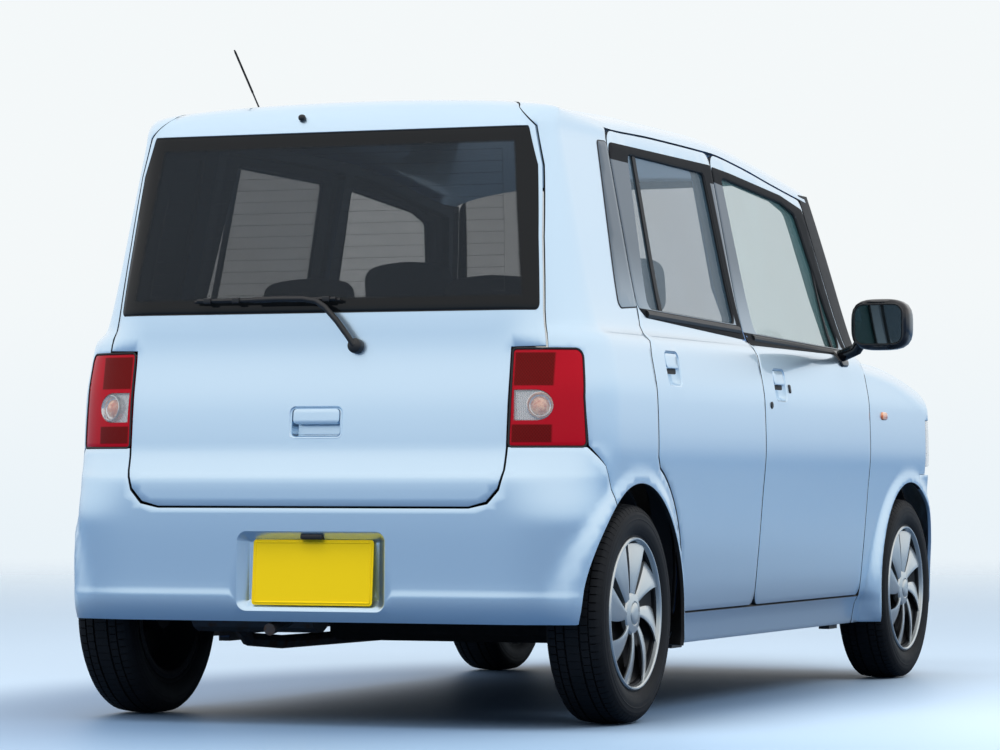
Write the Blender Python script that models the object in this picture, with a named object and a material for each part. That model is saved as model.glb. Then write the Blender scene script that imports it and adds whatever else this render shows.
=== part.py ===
"""A kei car: a small five-door wagon, modelled at full size in metres.

The front faces -Y and the left side is +X. The origin lies on the ground below the middle of the
car. Every outer panel lies on one of four surfaces, which are drawn by short tables of sizes:
shell() for the sides and the tail, nose() for the wings and the front, roof() and bonnet_top().
"""
import math
import bmesh
import bpy
from mathutils import Vector
from mathutils.geometry import delaunay_2d_cdt

for thing in list(bpy.data.objects):
    bpy.data.objects.remove(thing, do_unlink=True)

# Overall sizes
LENGTH = 3.395
WIDTH = 1.475
HEIGHT = 1.630
WHEELBASE = 2.490
REAR_OVERHANG = 0.4075
TRACK = 1.300
TAIL_CORNER = 0.260
NOSE_CORNER = 0.300

# Gaps and walls
FIT = 0.0003
PANEL_GAP = 0.005
FRAME_DEPTH = 0.016
SKIN = 0.010
DOOR_FLANGE = 0.010
DOOR_LAP = 0.028
DOOR_DEPTH = 0.085
SASH_DEPTH = 0.036
GLASS = 0.005
GLASS_RECESS = 0.006
PANE_FIT = 0.0006
LAMP_FIT = 0.0008
BUMPER_WALL = 0.010
ROOF_WALL = 0.020
GATE_DEPTH = 0.045
GATE_TOP_DEPTH = 0.022
GRID = 0.170
ROW_CLEAR = 0.014

# Wheels and axles
TYRE_RADIUS = 0.2785
TYRE_WIDTH = 0.155
RIM_RADIUS = 0.1778
HUB_INNER = 0.045
STEER_AXIS_X = 0.515
STRUT_RADIUS = 0.025
STRUT_TOP = 0.740
AXLE_RADIUS = 0.028
ARCH_RADIUS = 0.328
HOUSE_GAP = 0.008
LINER_RADIUS = 0.362
LINER_WALL = 0.008

# Door cuts along the side, and the lines of the cabin
DOOR_FRONT_Y = -0.757
DOOR_SPLIT_Y = 0.265
DOOR_REAR_Y = 1.157
DOOR_REAR_TOP_Y = 1.103
DOOR_BOTTOM = 0.270
DOOR_ARCH_BAND = 0.070
SILL_BOTTOM = 0.185
JACK_PAD_Z = 0.172
BELT = 1.030
ROOF_REAR_Y = 1.420
ROLL_START = 1.500
ROLL = 0.110
SCREEN_FOOT_Y = -1.020
SCREEN_FOOT_Z = 1.003
SCREEN_SWEEP = 0.200
SCREEN_FOOT_X = 0.645
SCREEN_TOP_Y = -0.740
SCREEN_TOP_SWEEP = 0.120
SCREEN_TOP_X = 0.545
BONNET_INSET = 0.1375
BONNET_REAR_Y = -1.095
BONNET_REAR_SWEEP = 0.170
BONNET_CROWN = 0.025
NOSE_ROLL = 0.110
FLOOR_Z = 0.235
SEAT_FLOOR_Z = 0.340
FLOOR_WALL = 0.020
FLOOR_HALF = 0.620
LOAD_FLOOR_Z = 0.500
FIREWALL_Y = -0.820
TAIL_WALL_Y = 1.585

# Lamps, plate and tailgate on the tail
LAMP_BOTTOM = 0.697
LAMP_TOP = 0.940
LAMP_INNER_X = 0.5185
LAMP_OUTER_X = 0.665
LAMP_DEPTH = 0.045
GATE_BOTTOM = 0.550
BUMPER_BOTTOM = 0.260
PLATE_WIDTH = 0.330
PLATE_HEIGHT = 0.165
PLATE_Z = 0.387
FRONT_PLATE_LOW = 0.300
FRONT_PLATE_RECESS = 0.005
HEADLAMP_BOTTOM = 0.655
HEADLAMP_TOP = 0.800
NOSE_BOTTOM = 0.170
BUMPER_TOP = 0.630
FRAME_FACE_Y = -1.575

# Mirrors: the flat seat on the door that carries each one
MIRROR_BASE_X = 0.722
MIRROR_BASE_Y = -0.560

# Seats
SEAT_X = 0.320
SEAT_WIDTH = 0.480
SEAT_BASE_Z = 0.330
DRIVER_SIDE = -1
SHROUD_FACE_Y = -0.462

HALF_WIDTH = WIDTH / 2
HALF_LENGTH = LENGTH / 2
REAR_AXLE_Y = HALF_LENGTH - REAR_OVERHANG
FRONT_AXLE_Y = REAR_AXLE_Y - WHEELBASE
WHEEL_X = TRACK / 2
TAIL_FLAT = HALF_WIDTH - TAIL_CORNER
TAIL_TURN = TAIL_FLAT + TAIL_CORNER * math.pi / 2
SIDE_START_Y = HALF_LENGTH - TAIL_CORNER
SIDE_END = TAIL_TURN + LENGTH - TAIL_CORNER - NOSE_CORNER
NOSE_TURN = SIDE_END + NOSE_CORNER * math.pi / 2
NOSE_MIDDLE = NOSE_TURN + HALF_WIDTH - NOSE_CORNER

# How far the side stands in from the full width, by height
SIDE_INSET = (
    (0.150, 0.0550), (0.273, 0.0395), (0.394, 0.0255), (0.577, 0.0095), (0.700, 0.0),
    (0.830, 0.0035), (0.916, 0.0165), (0.970, 0.0295), (1.000, 0.0600), (1.030, 0.0710),
    (1.110, 0.0905), (1.275, 0.1225), (1.414, 0.1485), (1.519, 0.1685), (1.700, 0.2050))
# How far the tail and the nose stand in from the full length, by height
TAIL_INSET = (
    (0.150, 0.060), (0.260, 0.020), (0.340, 0.0), (0.640, 0.0225), (0.810, 0.0475),
    (0.940, 0.0715), (1.035, 0.0805), (1.500, 0.1775), (1.700, 0.220))
NOSE_INSET = (
    (0.150, 0.050), (0.200, 0.020), (0.300, 0.0), (0.450, 0.0), (0.550, 0.006),
    (0.650, 0.020), (0.750, 0.040), (0.830, 0.062), (0.900, 0.090))
# Heights at which the panels follow the bends of the side and of the roll into the roof
SIDE_ROWS = (0.480, 0.640, 0.770, 0.870, 0.920, 0.965, 1.000, 1.050, 1.180, 1.330)
ROLL_ROWS = (1.500, 1.530, 1.560, 1.585)
NOSE_ROWS = (0.300, 0.450, 0.580, 0.700, 0.800, 0.850, 0.890, 0.925, 0.960)
# Extra inset half-way round the corners, by height
TAIL_CORNER_INSET = ((0.300, -0.028), (0.500, -0.028), (0.620, -0.012), (0.700, 0.0))
NOSE_CORNER_INSET = (
    (0.420, 0.0), (0.520, 0.012), (0.615, 0.035), (0.710, 0.060), (0.820, 0.080), (0.930, 0.120))
# The roof's middle and its edge above the doors, as drops from HEIGHT, by length
CROWN_DROP = (
    (-0.80, 0.088), (-0.62, 0.067), (-0.30, 0.027), (0.20, 0.0), (0.80, 0.005),
    (1.20, 0.025), (1.45, 0.048))
EDGE_DROP = (
    (-0.65, 0.194), (-0.41, 0.169), (-0.247, 0.151), (-0.015, 0.124), (0.27, 0.103),
    (0.75, 0.100), (1.05, 0.104), (1.20, 0.096), (1.42, 0.082))
# The bonnet's middle line
BONNET_LINE = (
    (-1.62, 0.885), (-1.56, 0.910), (-1.40, 0.952), (-1.20, 0.983), (-1.05, 0.998),
    (-0.80, 1.005))

PAINTS = {
    "paint": ((0.34, 0.53, 0.66), 0.5, 0.30),
    "glass": ((0.03, 0.04, 0.045), 0.0, 0.08),
    "black": ((0.015, 0.015, 0.016), 0.0, 0.55),
    "trim": ((0.06, 0.06, 0.065), 0.0, 0.60),
    "rubber": ((0.02, 0.02, 0.02), 0.0, 0.85),
    "cover": ((0.62, 0.63, 0.65), 0.8, 0.30),
    "lamp": ((0.45, 0.02, 0.02), 0.0, 0.15),
    "clear": ((0.75, 0.78, 0.80), 0.1, 0.10),
    "steel": ((0.10, 0.10, 0.105), 0.7, 0.50),
    "plate": ((0.85, 0.66, 0.05), 0.0, 0.40),
    "cloth": ((0.16, 0.17, 0.19), 0.0, 0.90),
}

BODIES = {}


# Small helpers

def at(table, place):
    """The smooth curve through a table of (place, value) pairs."""
    if place <= table[0][0]:
        return table[0][1]
    if place >= table[-1][0]:
        return table[-1][1]
    k = max(i for i in range(len(table) - 1) if table[i][0] <= place)

    def secant(i):
        return (table[i + 1][1] - table[i][1]) / (table[i + 1][0] - table[i][0])

    def slope(i):
        if i == 0:
            return secant(0)
        if i == len(table) - 1:
            return secant(i - 1)
        before, after = secant(i - 1), secant(i)
        return 0.0 if before * after <= 0 else 2 * before * after / (before + after)

    width = table[k + 1][0] - table[k][0]
    u = (place - table[k][0]) / width
    low, high = table[k][1], table[k + 1][1]
    return ((2 * u ** 3 - 3 * u ** 2 + 1) * low + (u ** 3 - 2 * u ** 2 + u) * width * slope(k)
            + (3 * u ** 2 - 2 * u ** 3) * high + (u ** 3 - u ** 2) * width * slope(k + 1))


def ease(low, high, value):
    u = min(max((value - low) / (high - low), 0.0), 1.0)
    return u * u * (3 - 2 * u)


def solve(function, target, low, high):
    """Where a falling or rising function reaches the target, by halving."""
    rising = function(high) > function(low)
    for _ in range(40):
        middle = (low + high) / 2
        if (function(middle) < target) == rising:
            low = middle
        else:
            high = middle
    return (low + high) / 2


# The body's surfaces

def outline(t):
    """Plan outline: point and outward normal, t metres from the middle of the tail."""
    if t < TAIL_FLAT:
        return t, HALF_LENGTH, 0.0, 1.0
    if t < TAIL_TURN:
        a = (t - TAIL_FLAT) / TAIL_CORNER
        return (TAIL_FLAT + TAIL_CORNER * math.sin(a), SIDE_START_Y + TAIL_CORNER * math.cos(a),
                math.sin(a), math.cos(a))
    if t < SIDE_END:
        return HALF_WIDTH, SIDE_START_Y - (t - TAIL_TURN), 1.0, 0.0
    if t < NOSE_TURN:
        a = (t - SIDE_END) / NOSE_CORNER
        return (HALF_WIDTH - NOSE_CORNER + NOSE_CORNER * math.cos(a),
                NOSE_CORNER - HALF_LENGTH - NOSE_CORNER * math.sin(a), math.cos(a), -math.sin(a))
    return NOSE_MIDDLE - t, -HALF_LENGTH, 0.0, -1.0


def flare(y, z):
    """One at the lip of a wheel arch, falling to nothing a little way off."""
    axle = REAR_AXLE_Y if y > 0 else FRONT_AXLE_Y
    off = math.hypot(y - axle, z - TYRE_RADIUS) - ARCH_RADIUS
    return 1.0 - ease(0.008, 0.050, off)


def inset_at(t, z):
    _, y, nx, ny = outline(t)
    side = at(SIDE_INSET, z) * (1.0 - flare(y, z))
    end = at(TAIL_INSET if ny >= 0 else NOSE_INSET, z)
    corner = at(TAIL_CORNER_INSET if ny >= 0 else NOSE_CORNER_INSET, z)
    return nx * nx * side + ny * ny * end + 4 * nx * nx * ny * ny * corner


def half_width(z):
    return HALF_WIDTH - at(SIDE_INSET, z)


def roof_edge_z(y):
    return HEIGHT - at(EDGE_DROP, y)


def roof_z(x, y):
    edge = roof_edge_z(y)
    part = min(abs(x) / half_width(edge), 1.0)
    return edge + (HEIGHT - at(CROWN_DROP, y) - edge) * math.sqrt(1 - part * part)


def bonnet_z(x, y):
    return at(BONNET_LINE, y) - BONNET_CROWN * (x / (HALF_WIDTH - BONNET_INSET)) ** 2


def turned(p, edge, part):
    """Roll from a wall's point over to the edge of the panel above it."""
    turn = min(max(part, 0.0), 1.0) * math.pi / 2
    p.x += (edge.x - p.x) * (1 - math.cos(turn))
    p.y += (edge.y - p.y) * (1 - math.cos(turn))
    p.z += (edge.z - p.z) * math.sin(turn)
    return p


def roof_rim(t):
    """Where the roof's rim stands above the plan outline at t."""
    x, y, nx, ny = outline(t)
    y = min(y, ROOF_REAR_Y)
    wide = half_width(roof_edge_z(y))
    if ny > 0:
        x = t if t < TAIL_FLAT else TAIL_FLAT + (wide - TAIL_FLAT) * math.asin(nx) / (math.pi / 2)
    else:
        x = wide
    return Vector((x, y, roof_z(x, y)))


def shell(t, s):
    """The sides and the tail: s is the height, up to where the wall rolls into the roof."""
    x, y, nx, ny = outline(abs(t))
    z = min(s, ROLL_START)
    inset = inset_at(abs(t), z)
    p = Vector((x - inset * nx, y - inset * ny, z))
    if s > ROLL_START:
        p = turned(p, roof_rim(abs(t)), (s - ROLL_START) / ROLL)
    p.x = math.copysign(p.x, t)
    return p


def side(t, z):
    """The side as seen square on, with no roll at the top: the doors lie on it."""
    _, y, _, _ = outline(t)
    return Vector((HALF_WIDTH - inset_at(t, z), y, z))


def nose_wall_top(t):
    """Height where the wings and the nose start to roll into the bonnet."""
    x, y, nx, ny = outline(t)
    x, y = x - BONNET_INSET * nx, y - BONNET_INSET * ny
    rise = 0.055 + 0.050 * ease(0.0, 0.6, DOOR_FRONT_Y - y)
    return Vector((x, y, bonnet_z(x, y))), rise


def nose(t, s):
    """The wings and the nose: s is the height, up to where the wall rolls into the bonnet."""
    edge, rise = nose_wall_top(abs(t))
    start = edge.z - rise
    z = min(s, start)
    x, y, nx, ny = outline(abs(t))
    inset = inset_at(abs(t), z)
    p = Vector((x - inset * nx, y - inset * ny, z))
    if s > start:
        p = turned(p, edge, (s - start) / NOSE_ROLL)
    p.x = math.copysign(p.x, t)
    return p


def nose_top(t):
    edge, rise = nose_wall_top(t)
    return edge.z - rise + NOSE_ROLL


def bonnet_top(x, y):
    return Vector((x, y, bonnet_z(x, y)))


def roof(a, y):
    """The roof: a runs across from rim to rim, y along the car."""
    edge = roof_edge_z(y)
    wide = half_width(edge)
    turn = min(max(a / wide, -1.0), 1.0) * math.pi / 2
    rise = HEIGHT - at(CROWN_DROP, y) - edge
    return Vector((wide * math.sin(turn), y, edge + FIT + rise * math.cos(turn)))


def screen_top_y(x):
    return SCREEN_TOP_Y + SCREEN_TOP_SWEEP * (x / SCREEN_TOP_X) ** 2


def screen(a, b):
    """The windscreen: a across and b up the glass, both from 0 to 1 at its edges."""
    foot = Vector((SCREEN_FOOT_X * a, SCREEN_FOOT_Y + SCREEN_SWEEP * a * a, SCREEN_FOOT_Z))
    x = SCREEN_TOP_X * a
    y = screen_top_y(x)
    top = Vector((x, y - 0.006, roof_z(x, y) - 0.004))
    bow = 4 * b * (1 - b) * 0.012
    return foot.lerp(top, b) + Vector((0, -bow, bow * 0.5))


def side_t(y):
    return TAIL_TURN + SIDE_START_Y - y


def tail_t(x, z):
    """The t at which the tail's surface stands x from the middle."""
    return solve(lambda t: shell(t, z).x, x, 0.0, TAIL_TURN)


def wall_t(y, z):
    """The t at which the surface stands at a given length, round the tail's corner too."""
    if y < SIDE_START_Y - 0.02:
        return side_t(y)
    return solve(lambda t: shell(t, z).y, y, TAIL_FLAT * 0.5, TAIL_TURN + 0.2)


# Drawing outlines

def filleted(corners, pieces=4):
    """A closed outline of (a, b, radius) corners, rounded where the radius isn't nought."""
    points = []
    count = len(corners)
    for i, (a, b, radius) in enumerate(corners):
        here = Vector((a, b))
        if radius == 0:
            points.append(here)
            continue
        back = (Vector(corners[i - 1][:2]) - here).normalized()
        ahead = (Vector(corners[(i + 1) % count][:2]) - here).normalized()
        half = math.acos(max(-1.0, min(1.0, back.dot(ahead)))) / 2
        reach = radius / math.tan(half)
        centre = here + (back + ahead).normalized() * (radius / math.sin(half))
        first = here + back * reach - centre
        last = here + ahead * reach - centre
        sweep = math.atan2(first.x * last.y - first.y * last.x, first.dot(last))
        for k in range(pieces + 1):
            c, d = math.cos(sweep * k / pieces), math.sin(sweep * k / pieces)
            points.append(centre + Vector((first.x * c - first.y * d, first.x * d + first.y * c)))
    return points


def area(loop):
    return sum(p.x * q.y - q.x * p.y for p, q in zip(loop, loop[1:] + loop[:1])) / 2


def offset(loop, distance):
    """The outline drawn a distance inside itself."""
    sign = 1.0 if area(loop) > 0 else -1.0
    moved = []
    for i, here in enumerate(loop):
        into = (here - loop[i - 1]).normalized()
        out = (loop[(i + 1) % len(loop)] - here).normalized()
        normal = Vector((-into.y - out.y, into.x + out.x)).normalized()
        scale = max(normal.dot(Vector((-into.y, into.x))), 0.35)
        moved.append(here + normal * (sign * distance / scale))
    return moved


def inside(point, loop):
    hit = False
    for p, q in zip(loop, loop[1:] + loop[:1]):
        if (p.y > point.y) != (q.y > point.y):
            if point.x < (q.x - p.x) * (point.y - p.y) / (q.y - p.y) + p.x:
                hit = not hit
    return hit


def gap_to(point, loop):
    best = 9.0
    for p, q in zip(loop, loop[1:] + loop[:1]):
        along = q - p
        u = min(max((point - p).dot(along) / max(along.length_squared, 1e-12), 0.0), 1.0)
        best = min(best, (p + along * u - point).length)
    return best


def dense(loop, longest):
    """Extra points on the long sides, so that the outline follows the curved surface."""
    points = []
    for p, q in zip(loop, loop[1:] + loop[:1]):
        parts = max(1, math.ceil((q - p).length / longest))
        points += [p.lerp(q, k / parts) for k in range(parts)]
    return points


# Making solids

def material(name):
    if name in bpy.data.materials:
        return bpy.data.materials[name]
    colour, metallic, roughness = PAINTS[name]
    made = bpy.data.materials.new(name)
    made.use_nodes = True
    shader = made.node_tree.nodes["Principled BSDF"]
    shader.inputs["Base Color"].default_value = (*colour, 1.0)
    shader.inputs["Metallic"].default_value = metallic
    shader.inputs["Roughness"].default_value = roughness
    return made


def body(name, place=(0, 0, 0)):
    """An empty that stands on a moving body's axis."""
    empty = bpy.data.objects.new(name, None)
    empty.location = place
    bpy.context.collection.objects.link(empty)
    BODIES[name] = empty
    return name


def keep(name, bm, paint, owner=None):
    bmesh.ops.recalc_face_normals(bm, faces=bm.faces[:])
    mesh = bpy.data.meshes.new(name)
    if owner:
        bmesh.ops.translate(bm, verts=bm.verts[:], vec=-BODIES[owner].location)
    bm.to_mesh(mesh)
    bm.free()
    mesh.materials.append(material(paint))
    thing = bpy.data.objects.new(name, mesh)
    bpy.context.collection.objects.link(thing)
    if owner:
        thing.parent = BODIES[owner]
    mesh.shade_smooth()
    mesh.set_sharp_from_angle(angle=math.radians(35))
    return thing


def combine(thing, bm, operation, name):
    """Join a shape to a solid, or cut it away, with a Boolean modifier."""
    other = keep(name, bm, "trim")
    other.hide_render = True
    other.display_type = "WIRE"
    if thing.parent:
        other.parent = thing.parent
        other.location = -thing.parent.location
    step = thing.modifiers.new(name, "BOOLEAN")
    step.operation = operation
    step.solver = "EXACT"
    step.object = other


def flat(depth):
    return lambda p, n: p - n * depth


def normal_at(surface, a, b):
    h = 0.002
    across = surface(a + h, b) - surface(a - h, b)
    up = surface(a, b + h) - surface(a, b - h)
    n = across.cross(up).normalized()
    p = surface(a, b)
    return n if n.dot(p - Vector((0, 0.6 * p.y, 0.8))) > 0 else -n


def lay(surface, q, move, extra=0.0):
    n = normal_at(surface, q.x, q.y)
    return move(surface(q.x, q.y) - n * extra, n)


def cap(bm, surface, loops, rings, move, reliefs, step, rows):
    """Fill a face between its rings with triangles that follow the surface, row by row."""
    points, edges, made = [], [], []

    def add(loop, verts):
        start = len(points)
        points.extend(loop)
        made.extend(verts)
        edges.extend((start + i, start + (i + 1) % len(loop)) for i in range(len(loop)))

    for loop, ring in zip(loops, rings):
        add(loop, ring)
    kept_off = list(loops)
    floors = []
    for shape, depth, wall in reliefs:
        foot = offset(shape, wall)
        for loop, extra in ((shape, 0.0), (foot, depth)):
            add(loop, [bm.verts.new(lay(surface, q, move, extra)) for q in loop])
            kept_off.append(loop)
        floors.append((foot, depth))
    low_a = min(p.x for p in loops[0])
    low_b = min(p.y for p in loops[0])
    near = step * 0.4
    if rows:
        near = ROW_CLEAR
    else:
        count = int((max(p.y for p in loops[0]) - low_b) / step) + 1
        rows = [low_b + (j + 0.5) * step for j in range(count)]
    for i in range(int((max(p.x for p in loops[0]) - low_a) / step) + 1):
        for b in rows:
            q = Vector((low_a + (i + 0.5) * step, b))
            if not inside(q, loops[0]) or any(inside(q, hole) for hole in loops[1:]):
                continue
            if min(gap_to(q, loop) for loop in kept_off) < near:
                continue
            extra = sum(depth for foot, depth in floors if inside(q, foot))
            points.append(q)
            made.append(bm.verts.new(lay(surface, q, move, extra)))
    result = delaunay_2d_cdt(points, edges, [], 0, 1e-7)
    places, faces, origins = result[0], result[2], result[3]
    for face in faces:
        middle = sum((places[i] for i in face), Vector((0, 0))) / len(face)
        if abs(area([places[i] for i in face])) < 2e-7:
            continue
        if inside(middle, loops[0]) and not any(inside(middle, hole) for hole in loops[1:]):
            bm.faces.new([made[origins[i][0]] for i in face])


def plate(surface, outer, rims, holes=(), reliefs=(), step=GRID, hole_rims=None, rows=None,
          inner_rows=None):
    """A panel on a surface. The rims go from the outer face in: how each moves, and its inset."""
    bm = bmesh.new()
    loops = [outer] + list(holes)
    tops, feet, foot_loops = [], [], []
    for index, loop in enumerate(loops):
        levels = rims if index == 0 else (hole_rims or (rims[0], rims[-1]))
        rings = []
        for move, inset in levels:
            drawn = offset(loop, inset) if index == 0 and inset else loop
            rings.append([bm.verts.new(lay(surface, q, move)) for q in drawn])
        for upper, lower in zip(rings, rings[1:]):
            for i in range(len(loop)):
                k = (i + 1) % len(loop)
                bm.faces.new((upper[i], upper[k], lower[k], lower[i]))
        tops.append(rings[0])
        feet.append(rings[-1])
        foot_loops.append(drawn)
    cap(bm, surface, loops, tops, rims[0][0], reliefs, step, rows)
    cap(bm, surface, foot_loops, feet, rims[-1][0], reliefs, step, inner_rows)
    return bm


def loft(rings):
    """A solid through rings of points, closed at both ends."""
    bm = bmesh.new()
    rows = [[bm.verts.new(p) for p in ring] for ring in rings]
    for low, high in zip(rows, rows[1:]):
        for i in range(len(low)):
            k = (i + 1) % len(low)
            bm.faces.new((low[i], low[k], high[k], high[i]))
    bm.faces.new(rows[0])
    bm.faces.new(rows[-1])
    return bm


def block(low, high, bevel=0.0, pieces=1):
    bm = bmesh.new()
    size = [high[i] - low[i] for i in range(3)]
    middle = Vector([(high[i] + low[i]) / 2 for i in range(3)])
    bmesh.ops.create_cube(bm, size=1.0)
    bmesh.ops.scale(bm, vec=size, verts=bm.verts[:])
    bmesh.ops.translate(bm, vec=middle, verts=bm.verts[:])
    if bevel:
        bmesh.ops.bevel(bm, geom=bm.edges[:], offset=bevel, segments=pieces, affect="EDGES",
                        profile=0.5)
    return bm


def tube(path, radius, sides=10):
    """A round bar along a path of points."""
    rings = []
    for i, here in enumerate(path):
        before = path[max(i - 1, 0)]
        after = path[min(i + 1, len(path) - 1)]
        along = (Vector(after) - Vector(before)).normalized()
        other = along.orthogonal().normalized() if i == 0 else other
        other = (other - along * other.dot(along)).normalized()
        third = along.cross(other)
        rings.append([Vector(here) + (other * math.cos(a) + third * math.sin(a)) * radius
                      for a in (2 * math.pi * k / sides for k in range(sides))])
    return loft(rings)


def turned_solid(profile, centre, sides):
    """A closed profile of (x, radius) points, turned about the X axis through a centre."""
    bm = bmesh.new()
    rings = []
    for k in range(sides):
        a = 2 * math.pi * k / sides
        rings.append([bm.verts.new((centre[0] + x, centre[1] + r * math.cos(a),
                                    centre[2] + r * math.sin(a))) for x, r in profile])
    for k in range(sides):
        here, there = rings[k], rings[(k + 1) % sides]
        for i in range(len(profile)):
            j = (i + 1) % len(profile)
            bm.faces.new((here[i], here[j], there[j], there[i]))
    return bm


def disc_solid(profile, centre, sides):
    """As turned_solid, for a profile that starts and ends on the axis."""
    bm = bmesh.new()
    first = bm.verts.new((centre[0] + profile[0][0], centre[1], centre[2]))
    last = bm.verts.new((centre[0] + profile[-1][0], centre[1], centre[2]))
    rings = []
    for k in range(sides):
        a = 2 * math.pi * k / sides
        rings.append([bm.verts.new((centre[0] + x, centre[1] + r * math.cos(a),
                                    centre[2] + r * math.sin(a))) for x, r in profile[1:-1]])
    for k in range(sides):
        here, there = rings[k], rings[(k + 1) % sides]
        bm.faces.new((first, here[0], there[0]))
        bm.faces.new((last, there[-1], here[-1]))
        for i in range(len(here) - 1):
            bm.faces.new((here[i], here[i + 1], there[i + 1], there[i]))
    return bm


def strip(points, thickness, x_low, x_high):
    """A folded sheet: a line of (y, z) points with a wall below it, drawn out along X."""
    line = [Vector(p) for p in points]
    under = []
    for i, here in enumerate(line):
        into = (here - line[i - 1]).normalized() if i else (line[1] - here).normalized()
        out = (line[i + 1] - here).normalized() if i < len(line) - 1 else into
        normal = Vector((into.y + out.y, -into.x - out.x)).normalized()
        under.append(here + normal * thickness / max(normal.dot(Vector((into.y, -into.x))), 0.4))
    ring = line + under[::-1]
    return loft([[Vector((x, p.x, p.y)) for p in ring] for x in (x_low, x_high)])


def arc(centre_y, centre_z, radius, start, end, pieces):
    """Points round an axle, with the angle in degrees from the rear, through the top."""
    return [(centre_y + radius * math.cos(math.radians(start + (end - start) * k / pieces)),
             centre_z + radius * math.sin(math.radians(start + (end - start) * k / pieces)))
            for k in range(pieces + 1)]


def prism(points, low, high, axis="x"):
    """An outline drawn straight along an axis: (y, z) points along X or (x, y) points along Z."""
    if axis == "x":
        return loft([[Vector((x, a, b)) for a, b in points] for x in (low, high)])
    return loft([[Vector((a, b, z)) for a, b in points] for z in (low, high)])


def ring_of(radius, centre, sides):
    """Points of a circle round a centre, starting level, for a prism along either axis."""
    return [(centre[0] + radius * math.cos(2 * math.pi * k / sides),
             centre[1] + radius * math.sin(2 * math.pi * k / sides)) for k in range(sides)]


def for_side(surface, sign):
    """The same surface on the left (sign 1) or mirrored to the right (sign -1)."""
    def mirrored(a, b):
        p = surface(a, b)
        return Vector((p.x * sign, p.y, p.z))
    return mirrored


# The doors' outlines, drawn in length and height

def front_door_outline(grow=0.0):
    """Outline of the front door; grow moves the edges out into the gap round it."""
    top = [(y, roof_edge_z(y) - PANEL_GAP + grow) for y in (-0.41, -0.247, -0.015, 0.13)]
    head_y = pillar_y(roof_edge_z(-0.53))
    corners = [
        (DOOR_FRONT_Y - grow, DOOR_BOTTOM - grow, 0.035),
        (DOOR_FRONT_Y - grow, BELT - 0.080, 0.060),
        (pillar_y(BELT) - grow, BELT, 0.080),
        (head_y - grow, roof_edge_z(head_y) - PANEL_GAP + grow, 0.045)]
    corners += [(y, z, 0) for y, z in top]
    end = DOOR_SPLIT_Y - PANEL_GAP / 2 + grow
    corners += [(end, roof_edge_z(end) - PANEL_GAP + grow, 0.040),
                (end, DOOR_BOTTOM - grow, 0.035)]
    return on_side(corners)


def pillar_y(z):
    """Length of the front door's edge along the windscreen pillar, by height."""
    return -0.538 - 0.40 * (1.446 - z)


def rear_door_outline(grow=0.0):
    start = DOOR_SPLIT_Y + PANEL_GAP / 2 - grow
    radius = ARCH_RADIUS + DOOR_ARCH_BAND - grow
    bow = arc(REAR_AXLE_Y, TYRE_RADIUS, radius, 178, 112, 7)
    top = [(y, roof_edge_z(y) - PANEL_GAP + grow) for y in (0.90, 0.65, 0.40)]
    corners = [(start, DOOR_BOTTOM - grow, 0.035), (bow[0][0], DOOR_BOTTOM - grow, 0)]
    corners += [(y, z, 0) for y, z in bow]
    corners += [
        (DOOR_REAR_Y + grow, bow[-1][1] + 0.030, 0),
        (DOOR_REAR_Y + grow, BELT - 0.090, 0.060),
        (DOOR_REAR_TOP_Y + grow, BELT + 0.015, 0.070),
        (DOOR_REAR_TOP_Y + grow, roof_edge_z(DOOR_REAR_TOP_Y) - PANEL_GAP + grow, 0.045)]
    corners += [(y, z, 0) for y, z in top]
    corners += [(start, roof_edge_z(start) - PANEL_GAP + grow, 0.040)]
    return on_side(corners)


def on_side(corners):
    return dense(filleted([(side_t(y), z, r) for y, z, r in corners]), 0.17)


FRONT_WINDOW = ((-0.668, 1.000, 0.03), (-0.462, 1.402, 0.05), (-0.34, 1.430, 0),
                (0.197, 1.468, 0.025), (0.160, 1.020, 0.03))
REAR_WINDOW = ((0.305, 1.040, 0.03), (0.338, 1.468, 0.025), (0.965, 1.474, 0.03),
               (1.030, 1.055, 0.03))
QUARTER_WINDOW = ((1.135, 1.060, 0.012), (1.135, 1.474, 0.012), (1.168, 1.472, 0.012),
                  (1.232, 1.066, 0.020))


def window(corners):
    return dense(filleted([(side_t(y), z, r) for y, z, r in corners], 3), 0.22)


def door_inner(p, n):
    """The door's inner face: deep below the belt, shallow round the window."""
    depth = DOOR_DEPTH + (SASH_DEPTH - DOOR_DEPTH) * ease(BELT - 0.11, BELT - 0.03, p.z)
    x = abs(p.x) - depth
    if p.z < BELT - 0.20:
        x = max(x, FLOOR_HALF + 0.012)
    return Vector((math.copysign(x, p.x), p.y, p.z))


DOOR_RIMS = ((flat(0.0), 0.0), (flat(DOOR_FLANGE), 0.003), (flat(DOOR_FLANGE), DOOR_LAP),
             (door_inner, DOOR_LAP))
WINDOW_RIMS = ((flat(0.0), 0.0), (flat(GLASS_RECESS + GLASS + 0.003), 0.0), (door_inner, 0.0))
SKIN_RIMS = ((flat(0.0), 0.0), (flat(SKIN), 0.0))
PANE_RIMS = ((flat(GLASS_RECESS), 0.0), (flat(GLASS_RECESS + GLASS), 0.0))

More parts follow.
